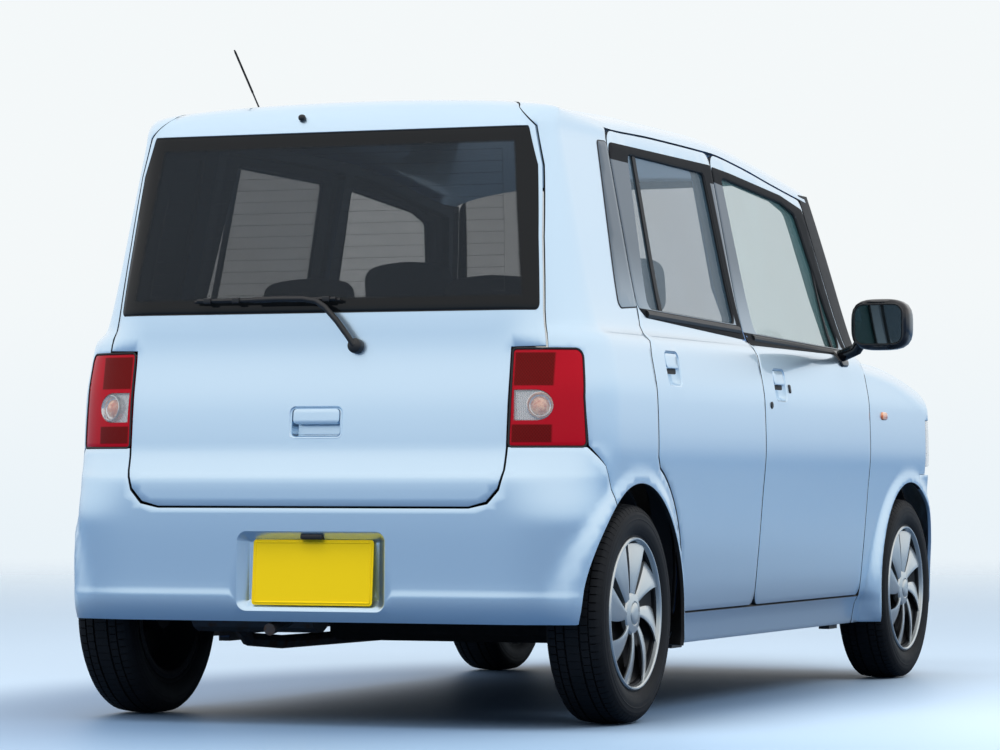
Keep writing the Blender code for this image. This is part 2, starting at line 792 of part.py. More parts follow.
# Joints: each moving body stands on an empty
for sign, label in ((1, "left"), (-1, "right")):
    body("door_front_" + label, (sign * HALF_WIDTH, DOOR_FRONT_Y, DOOR_BOTTOM))
    body("door_rear_" + label, (sign * HALF_WIDTH, DOOR_SPLIT_Y + PANEL_GAP / 2, DOOR_BOTTOM))
    body("steer_" + label, (sign * STEER_AXIS_X, FRONT_AXLE_Y, TYRE_RADIUS))
    body("wheel_front_" + label, (sign * WHEEL_X, FRONT_AXLE_Y, TYRE_RADIUS))
    body("wheel_rear_" + label, (sign * WHEEL_X, REAR_AXLE_Y, TYRE_RADIUS))
GATE_AXIS = (0, ROOF_REAR_Y + PANEL_GAP, roof_z(0, ROOF_REAR_Y) + 0.002)
BONNET_AXIS = (0, BONNET_REAR_Y + BONNET_REAR_SWEEP, bonnet_z(0, -0.93) - 0.010)
body("tailgate_hinge", GATE_AXIS)
body("bonnet_hinge", BONNET_AXIS)

# Doors, their glass and the mirrors
for sign, label in ((1, "left"), (-1, "right")):
    face = for_side(side, sign)
    for end, drawn, hole in (("front", front_door_outline(), FRONT_WINDOW),
                             ("rear", rear_door_outline(), REAR_WINDOW)):
        owner = "door_%s_%s" % (end, label)
        opening = window(hole)
        keep("door_%s_%s_panel" % (end, label),
             plate(face, drawn, DOOR_RIMS, [opening], hole_rims=WINDOW_RIMS, rows=SIDE_ROWS),
             "paint", owner)
        pane = offset(opening, PANE_FIT)
        keep("glass_%s_%s" % (end, label), plate(face, pane, PANE_RIMS), "glass", owner)
    base = block((min(sign * 0.680, sign * MIRROR_BASE_X), MIRROR_BASE_Y - 0.034, 0.948),
                 (max(sign * 0.680, sign * MIRROR_BASE_X), MIRROR_BASE_Y + 0.034, 1.000), 0.006)
    combine(bpy.data.objects["door_front_%s_panel" % label], base, "UNION",
            "cutter_mirror_base_" + label)


# The fixed frame behind the doors: sill, hinge pillar, centre pillar and roof rail

def frame_inner(p, n):
    deep = min(abs(p.x) - 0.054, HALF_WIDTH)
    low = FLOOR_HALF + FIT
    blend = ease(0.30, 0.60, p.z)
    return Vector((math.copysign(low + (deep - low) * blend if p.z < 0.60 else deep, p.x),
                   p.y, p.z))


FRAME_BAND = 0.048
EDGE_ROWS = (-0.41, -0.247, -0.015, 0.27, 0.75, 1.05, 1.20)


def aperture(drawn):
    return offset(drawn, DOOR_LAP - PANEL_GAP)


for sign, label in ((1, "left"), (-1, "right")):
    foot = SILL_BOTTOM + 0.004
    front = FRONT_AXLE_Y + LINER_RADIUS + 0.002
    edge = FIT - PANEL_GAP
    corners = [(front, foot, 0), (front, 0.780, 0), (-0.778, 0.880, 0), (-0.752, 0.950, 0)]
    corners += [(pillar_y(z) + edge, z, 0) for z in (0.99, 1.03, 1.10, 1.25)]
    corners += [(pillar_y(1.43) + edge, 1.430, 0), (pillar_y(1.44) + 0.010, roof_edge_z(-0.53), 0)]
    corners += [(y, roof_edge_z(y), 0) for y in EDGE_ROWS[:-1]]
    corners += [(1.130, roof_edge_z(1.130), 0), (1.130, BELT - 0.03, 0), (1.185, BELT - 0.10, 0),
                (1.185, 0.700, 0)]
    corners += [(y, z, 0) for y, z in
                arc(REAR_AXLE_Y, TYRE_RADIUS, ARCH_RADIUS + FRAME_BAND, 105, 178, 6)]
    corners += [(REAR_AXLE_Y - ARCH_RADIUS - FRAME_BAND, foot, 0)]
    drawn = dense([Vector((side_t(y), z)) for y, z, _ in corners], 0.20)
    rims = ((flat(FRAME_DEPTH), 0.0), (frame_inner, 0.0))
    frame = keep("side_frame_" + label,
                 plate(for_side(side, sign), drawn, rims,
                       [aperture(front_door_outline()), aperture(rear_door_outline())],
                       step=0.3), "trim")
    for end, start in (("front", DOOR_FRONT_Y), ("rear", DOOR_SPLIT_Y + PANEL_GAP / 2)):
        for level, z in (("low", 0.450), ("high", 0.780)):
            wide = half_width(z)
            hinge = block((min(sign * (wide - 0.045), sign * (wide - 0.075)),
                           start + DOOR_LAP - PANEL_GAP - 0.012, z - 0.030),
                          (max(sign * (wide - 0.045), sign * (wide - 0.075)),
                           start + DOOR_LAP - FIT, z + 0.030))
            combine(frame, hinge, "UNION", "cutter_hinge_%s_%s_%s" % (end, level, label))
    for end, y in (("front", -0.620), ("rear", 0.800)):
        pad = block((min(sign * 0.628, sign * 0.660), y - 0.040, JACK_PAD_Z),
                    (max(sign * 0.628, sign * 0.660), y + 0.040, SILL_BOTTOM + 0.015))
        combine(frame, pad, "UNION", "cutter_jack_pad_%s_%s" % (end, label))


# Body side: quarter panel and sill in one, with the quarter window

def gate_edge(grow=0.0):
    """The tailgate's edge from its top corner down to the lamp, as (t, s) points."""
    points = [(TAIL_FLAT - 0.035 + grow, ROLL_START + ROLL), (TAIL_FLAT + 0.012 + grow, 1.560)]
    for x, z in ((0.532, 1.500), (0.555, 1.400), (0.569, 1.220), (0.584, 1.035)):
        points.append((tail_t(x + grow, z), z))
    return points


def body_side_outline():
    gap = PANEL_GAP
    bottom = SILL_BOTTOM
    door = rear_door_outline(gap)
    low_front = side_t(DOOR_FRONT_Y + 0.0)
    corners = [(low_front, bottom, 0), (low_front, DOOR_BOTTOM - gap, 0)]
    bow = arc(REAR_AXLE_Y, TYRE_RADIUS, ARCH_RADIUS + DOOR_ARCH_BAND - gap, 178, 112, 7)
    corners += [(side_t(bow[0][0]), DOOR_BOTTOM - gap, 0)]
    corners += [(side_t(y), z, 0) for y, z in bow]
    corners += [
        (side_t(DOOR_REAR_Y + gap), bow[-1][1] + 0.030, 0),
        (side_t(DOOR_REAR_Y + gap), BELT - 0.090, 0.055),
        (side_t(DOOR_REAR_TOP_Y + gap), BELT + 0.015, 0.070),
        (side_t(DOOR_REAR_TOP_Y + gap), ROLL_START + ROLL, 0)]
    corners += [(side_t(1.20), ROLL_START + ROLL, 0), (side_t(ROOF_REAR_Y), ROLL_START + ROLL, 0)]
    corners += [(TAIL_TURN - 0.12, ROLL_START + ROLL, 0), (TAIL_TURN - 0.27, ROLL_START + ROLL, 0)]
    corners += [(t, z, 0) for t, z in gate_edge(gap)]
    lamp_top = LAMP_TOP + LAMP_FIT
    lamp_outer = tail_t(LAMP_OUTER_X, LAMP_TOP) + LAMP_FIT
    corners += [(tail_t(0.604, lamp_top), lamp_top, 0), (lamp_outer, lamp_top, 0),
                (tail_t(LAMP_OUTER_X + 0.016, 0.82) + LAMP_FIT, 0.82, 0),
                (tail_t(LAMP_OUTER_X + 0.028, LAMP_BOTTOM) + LAMP_FIT + 0.004, 0.700, 0),
                (wall_t(1.515, 0.650), 0.650, 0)]
    corners += [(wall_t(y, z), z, 0) for y, z in
                arc(REAR_AXLE_Y, TYRE_RADIUS, ARCH_RADIUS, 57, 180, 14)]
    corners += [(side_t(REAR_AXLE_Y - ARCH_RADIUS), bottom, 0)]
    return dense(filleted(corners), 0.17)


for sign, label in ((1, "left"), (-1, "right")):
    face = for_side(shell, sign)
    opening = window(QUARTER_WINDOW)
    keep("body_side_" + label,
         plate(face, body_side_outline(), SKIN_RIMS, [opening], rows=SIDE_ROWS + ROLL_ROWS,
               inner_rows=SIDE_ROWS + ROLL_ROWS[:1]), "paint")
    keep("quarter_glass_" + label, plate(face, offset(opening, PANE_FIT), PANE_RIMS), "glass")

# Roof
rim = math.pi / 2
corners = []
front_row = [k / 6 for k in range(-6, 7)]
wide_front = half_width(roof_edge_z(-0.60))
for part in front_row:
    x = wide_front * math.sin(part * rim)
    corners.append((part * wide_front, screen_top_y(x) if abs(part) < 1 else -0.600, 0))
for y in EDGE_ROWS:
    corners.append((half_width(roof_edge_z(y)), y, 0))
for part in reversed(front_row):
    corners.append((part * half_width(roof_edge_z(ROOF_REAR_Y)), ROOF_REAR_Y - 0.004, 0))
for y in reversed(EDGE_ROWS):
    corners.append((-half_width(roof_edge_z(y)), y, 0))
drawn = [Vector((a, y)) for a, y, _ in corners]
top = keep("roof_panel", plate(roof, drawn, ((flat(0.0), 0.0), (flat(ROOF_WALL), 0.002))), "paint")
HINGE_X = 0.330
LEAF_Z = roof_z(HINGE_X, ROOF_REAR_Y) - 0.030
header = block((-0.420, 1.340, LEAF_Z - 0.020), (0.420, 1.395, roof_z(0.42, 1.38) - 0.012))
combine(top, header, "UNION", "cutter_header")
for sign, label in ((1, "left"), (-1, "right")):
    lug = block((sign * HINGE_X - 0.025, 1.380, LEAF_Z - 0.018),
                (sign * HINGE_X + 0.025, ROOF_REAR_Y + 0.034, LEAF_Z - FIT))
    combine(top, lug, "UNION", "cutter_gate_lug_" + label)


AERIAL_X = 0.372
AERIAL_Y = 1.190
AERIAL_SEAT_Z = roof_z(AERIAL_X, AERIAL_Y) + 0.005
seat = block((AERIAL_X - 0.020, AERIAL_Y - 0.028, AERIAL_SEAT_Z - 0.018),
             (AERIAL_X + 0.020, AERIAL_Y + 0.028, AERIAL_SEAT_Z))
combine(top, seat, "UNION", "cutter_aerial_seat")


# Windscreen pillars, windscreen and scuttle

def pillar_rings(sign):
    rings = []
    for k in range(6):
        part = k / 5
        edge = screen(1.0, part)
        z = edge.z
        rings.append([])
        top = part == 1.0
        foot = pillar_y(roof_edge_z(-0.54) if top else z) - PANEL_GAP
        wide = half_width(z)
        spots = ((edge.x + FIT, edge.y), (wide - 0.010, edge.y - 0.002),
                 (wide, edge.y + 0.018), (wide, foot), (wide - 0.028, foot),
                 (edge.x + FIT, edge.y + 0.020))
        for x, y in spots:
            level = min(z, roof_z(x, max(y, -0.62)) - 0.004) if top else z
            if top:
                level = roof_edge_z(y) - 0.001
                x = min(x, half_width(level))
            rings[-1].append(Vector((x * sign, y, level)))
    return rings


for sign, label in ((1, "left"), (-1, "right")):
    keep("pillar_" + label, loft(pillar_rings(sign)), "paint")

SCREEN_SPAN = 1.20
SCREEN_RISE = 0.62
drawn = dense(filleted([(-SCREEN_SPAN / 2, 0.0, 0.03), (SCREEN_SPAN / 2, 0.0, 0.03),
                        (SCREEN_SPAN / 2, SCREEN_RISE, 0.05),
                        (-SCREEN_SPAN / 2, SCREEN_RISE, 0.05)]), 0.16)
keep("windscreen", plate(lambda a, b: screen(a * 2 / SCREEN_SPAN, b / SCREEN_RISE), drawn,
                         ((flat(0.0), 0.0), (flat(GLASS), 0.0))), "glass")


def bonnet_rear_y(x):
    return BONNET_REAR_Y + BONNET_REAR_SWEEP * (x / (HALF_WIDTH - BONNET_INSET)) ** 2


rings = []
for k in range(-6, 7):
    x = 0.098 * k
    front = bonnet_rear_y(x) + PANEL_GAP
    edge = screen(x / SCREEN_FOOT_X, 0.0)
    top = bonnet_z(x, front) - 0.004
    rings.append([Vector((x, front, top)), Vector((x, edge.y, edge.z - 0.002)),
                  Vector((x, edge.y + 0.030, edge.z - 0.0055)),
                  Vector((x, edge.y + 0.030, edge.z - 0.040)), Vector((x, front, top - 0.045))])
scuttle = keep("scuttle", loft(rings), "black")
BONNET_LEAF_X = 0.500
BONNET_LEAF_Y = bonnet_rear_y(BONNET_LEAF_X)
BONNET_LEAF_Z = bonnet_z(BONNET_LEAF_X, BONNET_LEAF_Y) - 0.036
for sign, label in ((1, "left"), (-1, "right")):
    lug = block((sign * BONNET_LEAF_X - 0.025, BONNET_LEAF_Y - 0.020, BONNET_LEAF_Z - 0.016),
                (sign * BONNET_LEAF_X + 0.025, BONNET_LEAF_Y + 0.022, BONNET_LEAF_Z - FIT))
    combine(scuttle, lug, "UNION", "cutter_bonnet_lug_" + label)

# Bonnet, on its hinge at the scuttle
half = HALF_WIDTH - BONNET_INSET - PANEL_GAP / 2
corners = []
for k in range(-6, 7):
    x = half * k / 6
    corners.append((x, bonnet_rear_y(x)))
bow = NOSE_CORNER - BONNET_INSET - PANEL_GAP / 2
middle_x, middle_y = HALF_WIDTH - NOSE_CORNER, NOSE_CORNER - HALF_LENGTH
corners += [(half, -1.08), (half, -1.24)]
corners += [(middle_x + bow * math.cos(a), middle_y - bow * math.sin(a))
            for a in (math.pi / 2 * k / 6 for k in range(7))]
corners += [(x, middle_y - bow) for x in (0.28, 0.14, 0.0, -0.14, -0.28)]
corners += [(-middle_x - bow * math.sin(a), middle_y - bow * math.cos(a))
            for a in (math.pi / 2 * k / 6 for k in range(7))]
corners += [(-half, -1.24), (-half, -1.08)]
drawn = [Vector(c) for c in corners]
bonnet = keep("bonnet", plate(bonnet_top, drawn, ((flat(0.0), 0.0), (flat(0.008), 0.002),
                                                  (flat(0.012), 0.018), (flat(0.030), 0.022))),
              "paint", "bonnet_hinge")
for sign, label in ((1, "left"), (-1, "right")):
    leaf = block((sign * BONNET_LEAF_X - 0.020, BONNET_LEAF_Y - 0.024, BONNET_LEAF_Z),
                 (sign * BONNET_LEAF_X + 0.020, BONNET_LEAF_Y - 0.004, BONNET_LEAF_Z + 0.028))
    combine(bonnet, leaf, "UNION", "cutter_bonnet_leaf_" + label)

# Nose: wings, lamps, grille and bumper
LAMP_END_T = side_t(-1.375)
LAMP_FRONT_T = NOSE_MIDDLE - 0.370


SEAM_ANGLE = 110.5


def wing_outline():
    gap = PANEL_GAP
    rear = side_t(DOOR_FRONT_Y - gap)
    corners = [(rear, SILL_BOTTOM), (rear, 0.50), (rear, BELT - 0.083)]
    corners += [(side_t(-0.790), nose_top(side_t(-0.790)) - 0.070),
                (side_t(-0.850), nose_top(side_t(-0.850)) - 0.045),
                (side_t(-0.900), nose_top(side_t(-0.900)) - 0.020)]
    for y in (-0.935, -1.05, -1.17, -1.28):
        corners.append((side_t(y), nose_top(side_t(y))))
    top_end = SIDE_END + NOSE_CORNER * 0.30
    corners.append((SIDE_END, nose_top(SIDE_END)))
    corners.append((top_end, nose_top(top_end)))
    for k in range(1, 5):
        t = top_end + (NOSE_MIDDLE - top_end) * k / 4
        corners.append((t, nose_top(t)))
    corners.append((NOSE_MIDDLE, HEADLAMP_TOP))
    for t in (LAMP_FRONT_T - 0.0, SIDE_END + NOSE_CORNER * 0.9, SIDE_END + NOSE_CORNER * 0.3):
        corners.append((t, HEADLAMP_TOP + LAMP_FIT))
    corners.append((LAMP_END_T - LAMP_FIT, HEADLAMP_TOP + LAMP_FIT))
    corners.append((LAMP_END_T - LAMP_FIT, HEADLAMP_BOTTOM))
    corners.append((LAMP_END_T - LAMP_FIT, BUMPER_TOP + FIT))
    seam = arc(FRONT_AXLE_Y, TYRE_RADIUS, ARCH_RADIUS, SEAM_ANGLE, 0, 12)
    corners.append((side_t(seam[0][0] + FIT), BUMPER_TOP + FIT))
    corners.append((side_t(seam[0][0] + FIT), seam[0][1]))
    corners += [(side_t(y), z) for y, z in seam[1:]]
    corners += [(side_t(FRONT_AXLE_Y + ARCH_RADIUS), SILL_BOTTOM)]
    return corners


def cleaned(corners):
    return dense([Vector(c) for c in corners], 0.17)


for sign, label in ((1, "left"), (-1, "right")):
    drawn = cleaned(wing_outline())
    middle = NOSE_MIDDLE - FIT
    drawn = [Vector((min(p.x, middle), p.y)) for p in drawn]
    keep("wing_" + label, plate(for_side(nose, sign), drawn, SKIN_RIMS, rows=NOSE_ROWS,
                                inner_rows=NOSE_ROWS), "paint")
    lamp = [(LAMP_END_T, HEADLAMP_BOTTOM), (LAMP_END_T, HEADLAMP_TOP),
            (LAMP_FRONT_T, HEADLAMP_TOP), (LAMP_FRONT_T + 0.02, HEADLAMP_BOTTOM)]
    keep("headlamp_" + label,
         plate(for_side(nose, sign), dense([Vector(c) for c in lamp], 0.10),
               ((flat(0.002), 0.0), (flat(0.045), 0.004))), "clear")


def round_nose(t, s):
    """The nose's surface, with t running on past the middle to the right side."""
    if t <= NOSE_MIDDLE:
        return nose(t, s)
    p = nose(2 * NOSE_MIDDLE - t, s)
    return Vector((-p.x, p.y, p.z))


grille_left = NOSE_MIDDLE - 0.349
row = [(grille_left, HEADLAMP_BOTTOM), (grille_left - 0.018, HEADLAMP_TOP - FIT)]
row = [Vector(c) for c in row] + [Vector((2 * NOSE_MIDDLE - t, z)) for t, z in reversed(row)]
grille = keep("grille", plate(round_nose, dense(row, 0.12),
                              ((flat(0.012), 0.0), (flat(0.040), 0.0))), "black")
for sign, label in ((1, "left"), (-1, "right")):
    boss = block((sign * 0.200 - 0.025, -1.630, 0.750), (sign * 0.200 + 0.025, FRAME_FACE_Y - FIT, 0.785))
    combine(grille, boss, "UNION", "cutter_grille_boss_" + label)

half = [(NOSE_MIDDLE, BUMPER_TOP), (NOSE_MIDDLE - 0.34, BUMPER_TOP)]
half += [(LAMP_FRONT_T - 0.10, BUMPER_TOP), (SIDE_END + 0.20, BUMPER_TOP),
         (SIDE_END + 0.05, BUMPER_TOP)]
arch_front = [(side_t(y) if y > NOSE_CORNER - HALF_LENGTH else
               solve(lambda t: nose(t, z).y, y, SIDE_END - 0.1, NOSE_TURN), z)
              for y, z in arc(FRONT_AXLE_Y, TYRE_RADIUS, ARCH_RADIUS, SEAM_ANGLE, 186, 8)]
half.append((arch_front[0][0], BUMPER_TOP))
half += arch_front
half += [(arch_front[-1][0] + 0.02, NOSE_BOTTOM), (NOSE_TURN, NOSE_BOTTOM),
         (NOSE_MIDDLE, NOSE_BOTTOM)]
left = [Vector(c) for c in half]
drawn = left[::-1] + [Vector((2 * NOSE_MIDDLE - p.x, p.y)) for p in left[1:-1]]
bumper = keep("front_bumper", plate(round_nose, dense(drawn, 0.17),
                                    ((flat(0.0), 0.0), (flat(BUMPER_WALL), 0.0))), "paint")
BEAM_FACE_Y = 0.060 - HALF_LENGTH
for sign, label in ((1, "left"), (-1, "right")):
    boss = block((sign * 0.360 - 0.030, 0.008 - HALF_LENGTH, 0.340),
                 (sign * 0.360 + 0.030, BEAM_FACE_Y, 0.400))
    combine(bumper, boss, "UNION", "cutter_boss_" + label)

# Tail: tailgate, its glass, lamps, bumper and plate


def gate_outline(grow=0.0):
    low = [(LAMP_INNER_X - 0.0045 + grow, LAMP_TOP + 0.004 + grow),
           (LAMP_INNER_X - 0.0045 + grow, 0.800), (LAMP_INNER_X - 0.0045 + grow, LAMP_BOTTOM)]
    bend = [(0.512 + grow, 0.640), (0.500 + grow, 0.595), (0.470 + grow, 0.562 - grow),
            (0.425, GATE_BOTTOM - grow)]
    right = [Vector((t, s)) for t, s in gate_edge(grow)]
    right[0].y -= PANEL_GAP
    right += [Vector((tail_t(0.599 + grow, 0.946), 0.946 - grow))]
    right += [Vector((tail_t(x, z), z)) for x, z in low + bend]
    return right


def mirrored_loop(points):
    return points + [Vector((-p.x, p.y)) for p in reversed(points)]


def gate_inner(p, n):
    """The tailgate's inner face, shallow where it rolls over into the roof."""
    return p - n * (GATE_DEPTH + (GATE_TOP_DEPTH - GATE_DEPTH) * ease(1.36, 1.46, p.z))


gate = dense(mirrored_loop(gate_outline()), 0.17)
hole = [(tail_t(0.485, 1.478), 1.478, 0.05), (tail_t(0.543, 1.062), 1.062, 0.04)]
hole = filleted([(t, s, r) for t, s, r in hole] + [(-t, s, r) for t, s, r in reversed(hole)])
hole = dense(hole, 0.17)
gate_panel = keep("tailgate_panel",
                  plate(shell, gate, ((flat(0.0), 0.0), (flat(DOOR_FLANGE), 0.003),
                                      (flat(DOOR_FLANGE), 0.024), (gate_inner, 0.026)),
                        [hole], step=0.08, rows=(0.760,) + ROLL_ROWS, inner_rows=ROLL_ROWS,
                        hole_rims=((flat(0.0), 0.0), (flat(0.009), 0.0), (gate_inner, 0.0))),
                  "paint", "tailgate_hinge")
for sign, label in ((1, "left"), (-1, "right")):
    leaf = block((sign * HINGE_X - 0.020, ROOF_REAR_Y + 0.012, LEAF_Z),
                 (sign * HINGE_X + 0.020, ROOF_REAR_Y + 0.034, LEAF_Z + 0.024))
    combine(gate_panel, leaf, "UNION", "cutter_leaf_" + label)
keep("tailgate_glass", plate(shell, offset(hole, PANE_FIT), ((flat(0.002), 0.0), (flat(0.007), 0.0))),
     "glass", "tailgate_hinge")

for sign, label in ((1, "left"), (-1, "right")):
    top = LAMP_TOP
    lamp = [(tail_t(LAMP_INNER_X, top), top), (tail_t(LAMP_INNER_X, 0.82), 0.82),
            (tail_t(LAMP_INNER_X, LAMP_BOTTOM), LAMP_BOTTOM),
            (tail_t(LAMP_OUTER_X + 0.028, LAMP_BOTTOM), LAMP_BOTTOM),
            (tail_t(LAMP_OUTER_X + 0.016, 0.82), 0.82),
            (tail_t(LAMP_OUTER_X, top), top)]
    keep("tail_lamp_" + label,
         plate(for_side(shell, sign), dense([Vector(c) for c in lamp], 0.13),
               ((flat(0.0), 0.0), (flat(LAMP_DEPTH), 0.004))), "lamp")


def rear_bumper_half():
    low = [(0.425, GATE_BOTTOM - PANEL_GAP), (0.475, 0.556), (0.505, 0.590), (0.517, 0.640),
           (LAMP_INNER_X + 0.0005, LAMP_BOTTOM - LAMP_FIT)]
    points = [(0.0, GATE_BOTTOM - PANEL_GAP)] + [(tail_t(x, z), z) for x, z in low]
    points += [(tail_t(LAMP_OUTER_X + 0.028, LAMP_BOTTOM), LAMP_BOTTOM - LAMP_FIT),
               (wall_t(1.515, 0.650) - 0.0008, 0.650)]
    points += [(wall_t(y, z) - FIT, z) for y, z in
               arc(REAR_AXLE_Y, TYRE_RADIUS, ARCH_RADIUS, 56.5, -3, 7)]
    points += [(wall_t(1.600, 0.300) - 0.03, BUMPER_BOTTOM), (0.30, BUMPER_BOTTOM)]
    return [Vector(p) for p in points]


left = rear_bumper_half()
drawn = left + [Vector((-p.x, p.y)) for p in reversed(left[1:])]
recess = filleted([(-0.205, 0.290, 0.02), (0.205, 0.290, 0.02), (0.205, 0.484, 0.02),
                   (-0.205, 0.484, 0.02)], 2)
rear_bumper = keep("rear_bumper", plate(shell, dense(drawn, 0.17),
                                        ((flat(0.0), 0.0), (flat(BUMPER_WALL), 0.0)),
                                        reliefs=((recess, 0.018, 0.012),)), "paint")
for sign, label in ((1, "left"), (-1, "right")):
    boss = block((sign * 0.360 - 0.030, TAIL_WALL_Y + FLOOR_WALL + FIT, 0.506),
                 (sign * 0.360 + 0.030, 1.677, 0.536))
    combine(rear_bumper, boss, "UNION", "cutter_tail_boss_" + label)

half_w, half_h = PLATE_WIDTH / 2, PLATE_HEIGHT / 2
low = shell(0.0, PLATE_Z - half_h)
high = shell(0.0, PLATE_Z + half_h)
rings = []
for x in (-half_w, half_w):
    back = [Vector((x, low.y - 0.018 + 0.004, low.z)), Vector((x, high.y - 0.018 + 0.008, high.z))]
    rings.append([back[0], back[1], back[1] + Vector((0, 0.004, 0)),
                  back[0] + Vector((0, 0.004, 0))])
keep("rear_plate", loft(rings), "plate")
under = [back[0].lerp(back[1], part) for part in (0.25, 0.75)]
seat = [(p.y - FIT, p.z) for p in under] + [(p.y - 0.011, p.z) for p in reversed(under)]
combine(rear_bumper, prism(seat, -0.100, 0.100), "UNION", "cutter_plate_seat")

# Floor with its firewall, tail wall, seat mounts and rear wheel houses
line = [(FIREWALL_Y, 0.930), (FIREWALL_Y, 0.420), (-0.620, FLOOR_Z), (0.640, FLOOR_Z),
        (0.680, SEAT_FLOOR_Z), (0.980, SEAT_FLOOR_Z), (1.020, LOAD_FLOOR_Z),
        (TAIL_WALL_Y, LOAD_FLOOR_Z), (TAIL_WALL_Y, 0.620)]
floor = keep("floor_pan", strip(line, FLOOR_WALL, -FLOOR_HALF, FLOOR_HALF), "trim")
HOUSE_RADIUS = ARCH_RADIUS + HOUSE_GAP
HOUSE_INNER_X = WHEEL_X - TYRE_WIDTH / 2 - 0.044
HOUSE_OUTER_X = 0.650
for sign, label in ((1, "left"), (-1, "right")):
    hood = arc(REAR_AXLE_Y, TYRE_RADIUS, HOUSE_RADIUS + 0.008, 14, 184, 13)
    combine(floor, prism(hood, sign * (HOUSE_INNER_X - 0.008), sign * HOUSE_OUTER_X), "UNION",
            "cutter_house_outer_" + label)
    well = ring_of(HOUSE_RADIUS, (REAR_AXLE_Y, TYRE_RADIUS), 28)
    combine(floor, prism(well, sign * HOUSE_INNER_X, sign * (HOUSE_OUTER_X + 0.1)), "DIFFERENCE",
            "cutter_house_inner_" + label)
    slot = block((sign * HOUSE_INNER_X - 0.03, REAR_AXLE_Y - 0.060, 0.15),
                 (sign * HOUSE_INNER_X + 0.03, REAR_AXLE_Y + 0.060, 0.37))
    combine(floor, slot, "DIFFERENCE", "cutter_axle_slot_" + label)
    mount = block((sign * SEAT_X - 0.170, -0.240, FLOOR_Z - 0.010),
                  (sign * SEAT_X + 0.170, 0.140, SEAT_BASE_Z - FIT))
    combine(floor, mount, "UNION", "cutter_seat_mount_" + label)

# Front structure: rails, inner wings, wheel liners, spring towers and radiator frame
RAIL_TOP = 0.280
RAIL_BOTTOM = 0.200
APRON_X = 0.373
front = keep("front_structure",
             block((-0.460, FRAME_FACE_Y, RAIL_BOTTOM), (0.460, -1.540, 0.800)), "black")
crash_beam = block((-0.420, BEAM_FACE_Y + FIT, 0.330), (0.420, -1.560, 0.410))
combine(front, crash_beam, "UNION", "cutter_crash_beam")
opening = block((-0.330, -1.60, 0.420), (0.330, -1.50, 0.740))
combine(front, opening, "DIFFERENCE", "cutter_radiator")
rail_end = FIREWALL_Y - FLOOR_WALL - FIT
for sign, label in ((1, "left"), (-1, "right")):
    rail = block((min(sign * 0.280, sign * APRON_X), -1.560, RAIL_BOTTOM),
                 (max(sign * 0.280, sign * APRON_X), rail_end, RAIL_TOP))
    combine(front, rail, "UNION", "cutter_rail_" + label)
    apron = block((min(sign * (APRON_X - 0.010), sign * APRON_X), -1.550, RAIL_TOP - 0.020),
                  (max(sign * (APRON_X - 0.010), sign * APRON_X), rail_end, 0.780))
    combine(front, apron, "UNION", "cutter_apron_" + label)
    over = arc(FRONT_AXLE_Y, TYRE_RADIUS, LINER_RADIUS + LINER_WALL, 24, 156, 12)
    under = arc(FRONT_AXLE_Y, TYRE_RADIUS, LINER_RADIUS, 156, 24, 12)
    combine(front, prism(over + under, sign * (APRON_X - 0.005), sign * 0.650), "UNION",
            "cutter_liner_" + label)
    tower = prism(ring_of(0.068, (sign * STEER_AXIS_X, FRONT_AXLE_Y), 14), 0.610,
                  STRUT_TOP + 0.020, "z")
    combine(front, tower, "UNION", "cutter_tower_" + label)
    hole = prism(ring_of(0.042, (sign * STEER_AXIS_X, FRONT_AXLE_Y), 14), 0.550,
                 STRUT_TOP + FIT, "z")
    combine(front, hole, "DIFFERENCE", "cutter_tower_hole_" + label)

keep("engine_block", block((-0.300, -1.500, RAIL_TOP + FIT), (0.300, -1.090, 0.740), 0.02),
     "steel")
plan = [(0.545, FRONT_AXLE_Y), (0.515, FRONT_AXLE_Y - 0.035), (0.300, FRONT_AXLE_Y + 0.04)]
plan += [(-x, y) for x, y in reversed(plan)]
plan += [(-0.515, FRONT_AXLE_Y + 0.035), (-0.330, FRONT_AXLE_Y + 0.20),
         (0.330, FRONT_AXLE_Y + 0.20), (0.515, FRONT_AXLE_Y + 0.035)]
ARM_TOP = RAIL_BOTTOM - FIT
keep("front_subframe", prism(plan, ARM_TOP - 0.035, ARM_TOP, "z"), "black")

# Steering knuckles, rear axle, tyres and wheels
HUB_FACE_X = WHEEL_X - HUB_INNER
for sign, label in ((1, "left"), (-1, "right")):
    strut = prism(ring_of(STRUT_RADIUS, (sign * STEER_AXIS_X, FRONT_AXLE_Y), 12),
                  ARM_TOP + FIT, STRUT_TOP, "z")
    knuckle = keep("knuckle_" + label, strut, "steel", "steer_" + label)
    stub = prism(ring_of(0.040, (FRONT_AXLE_Y, TYRE_RADIUS), 12), sign * STEER_AXIS_X,
                 sign * (HUB_FACE_X - FIT))
    combine(knuckle, stub, "UNION", "cutter_stub_" + label)

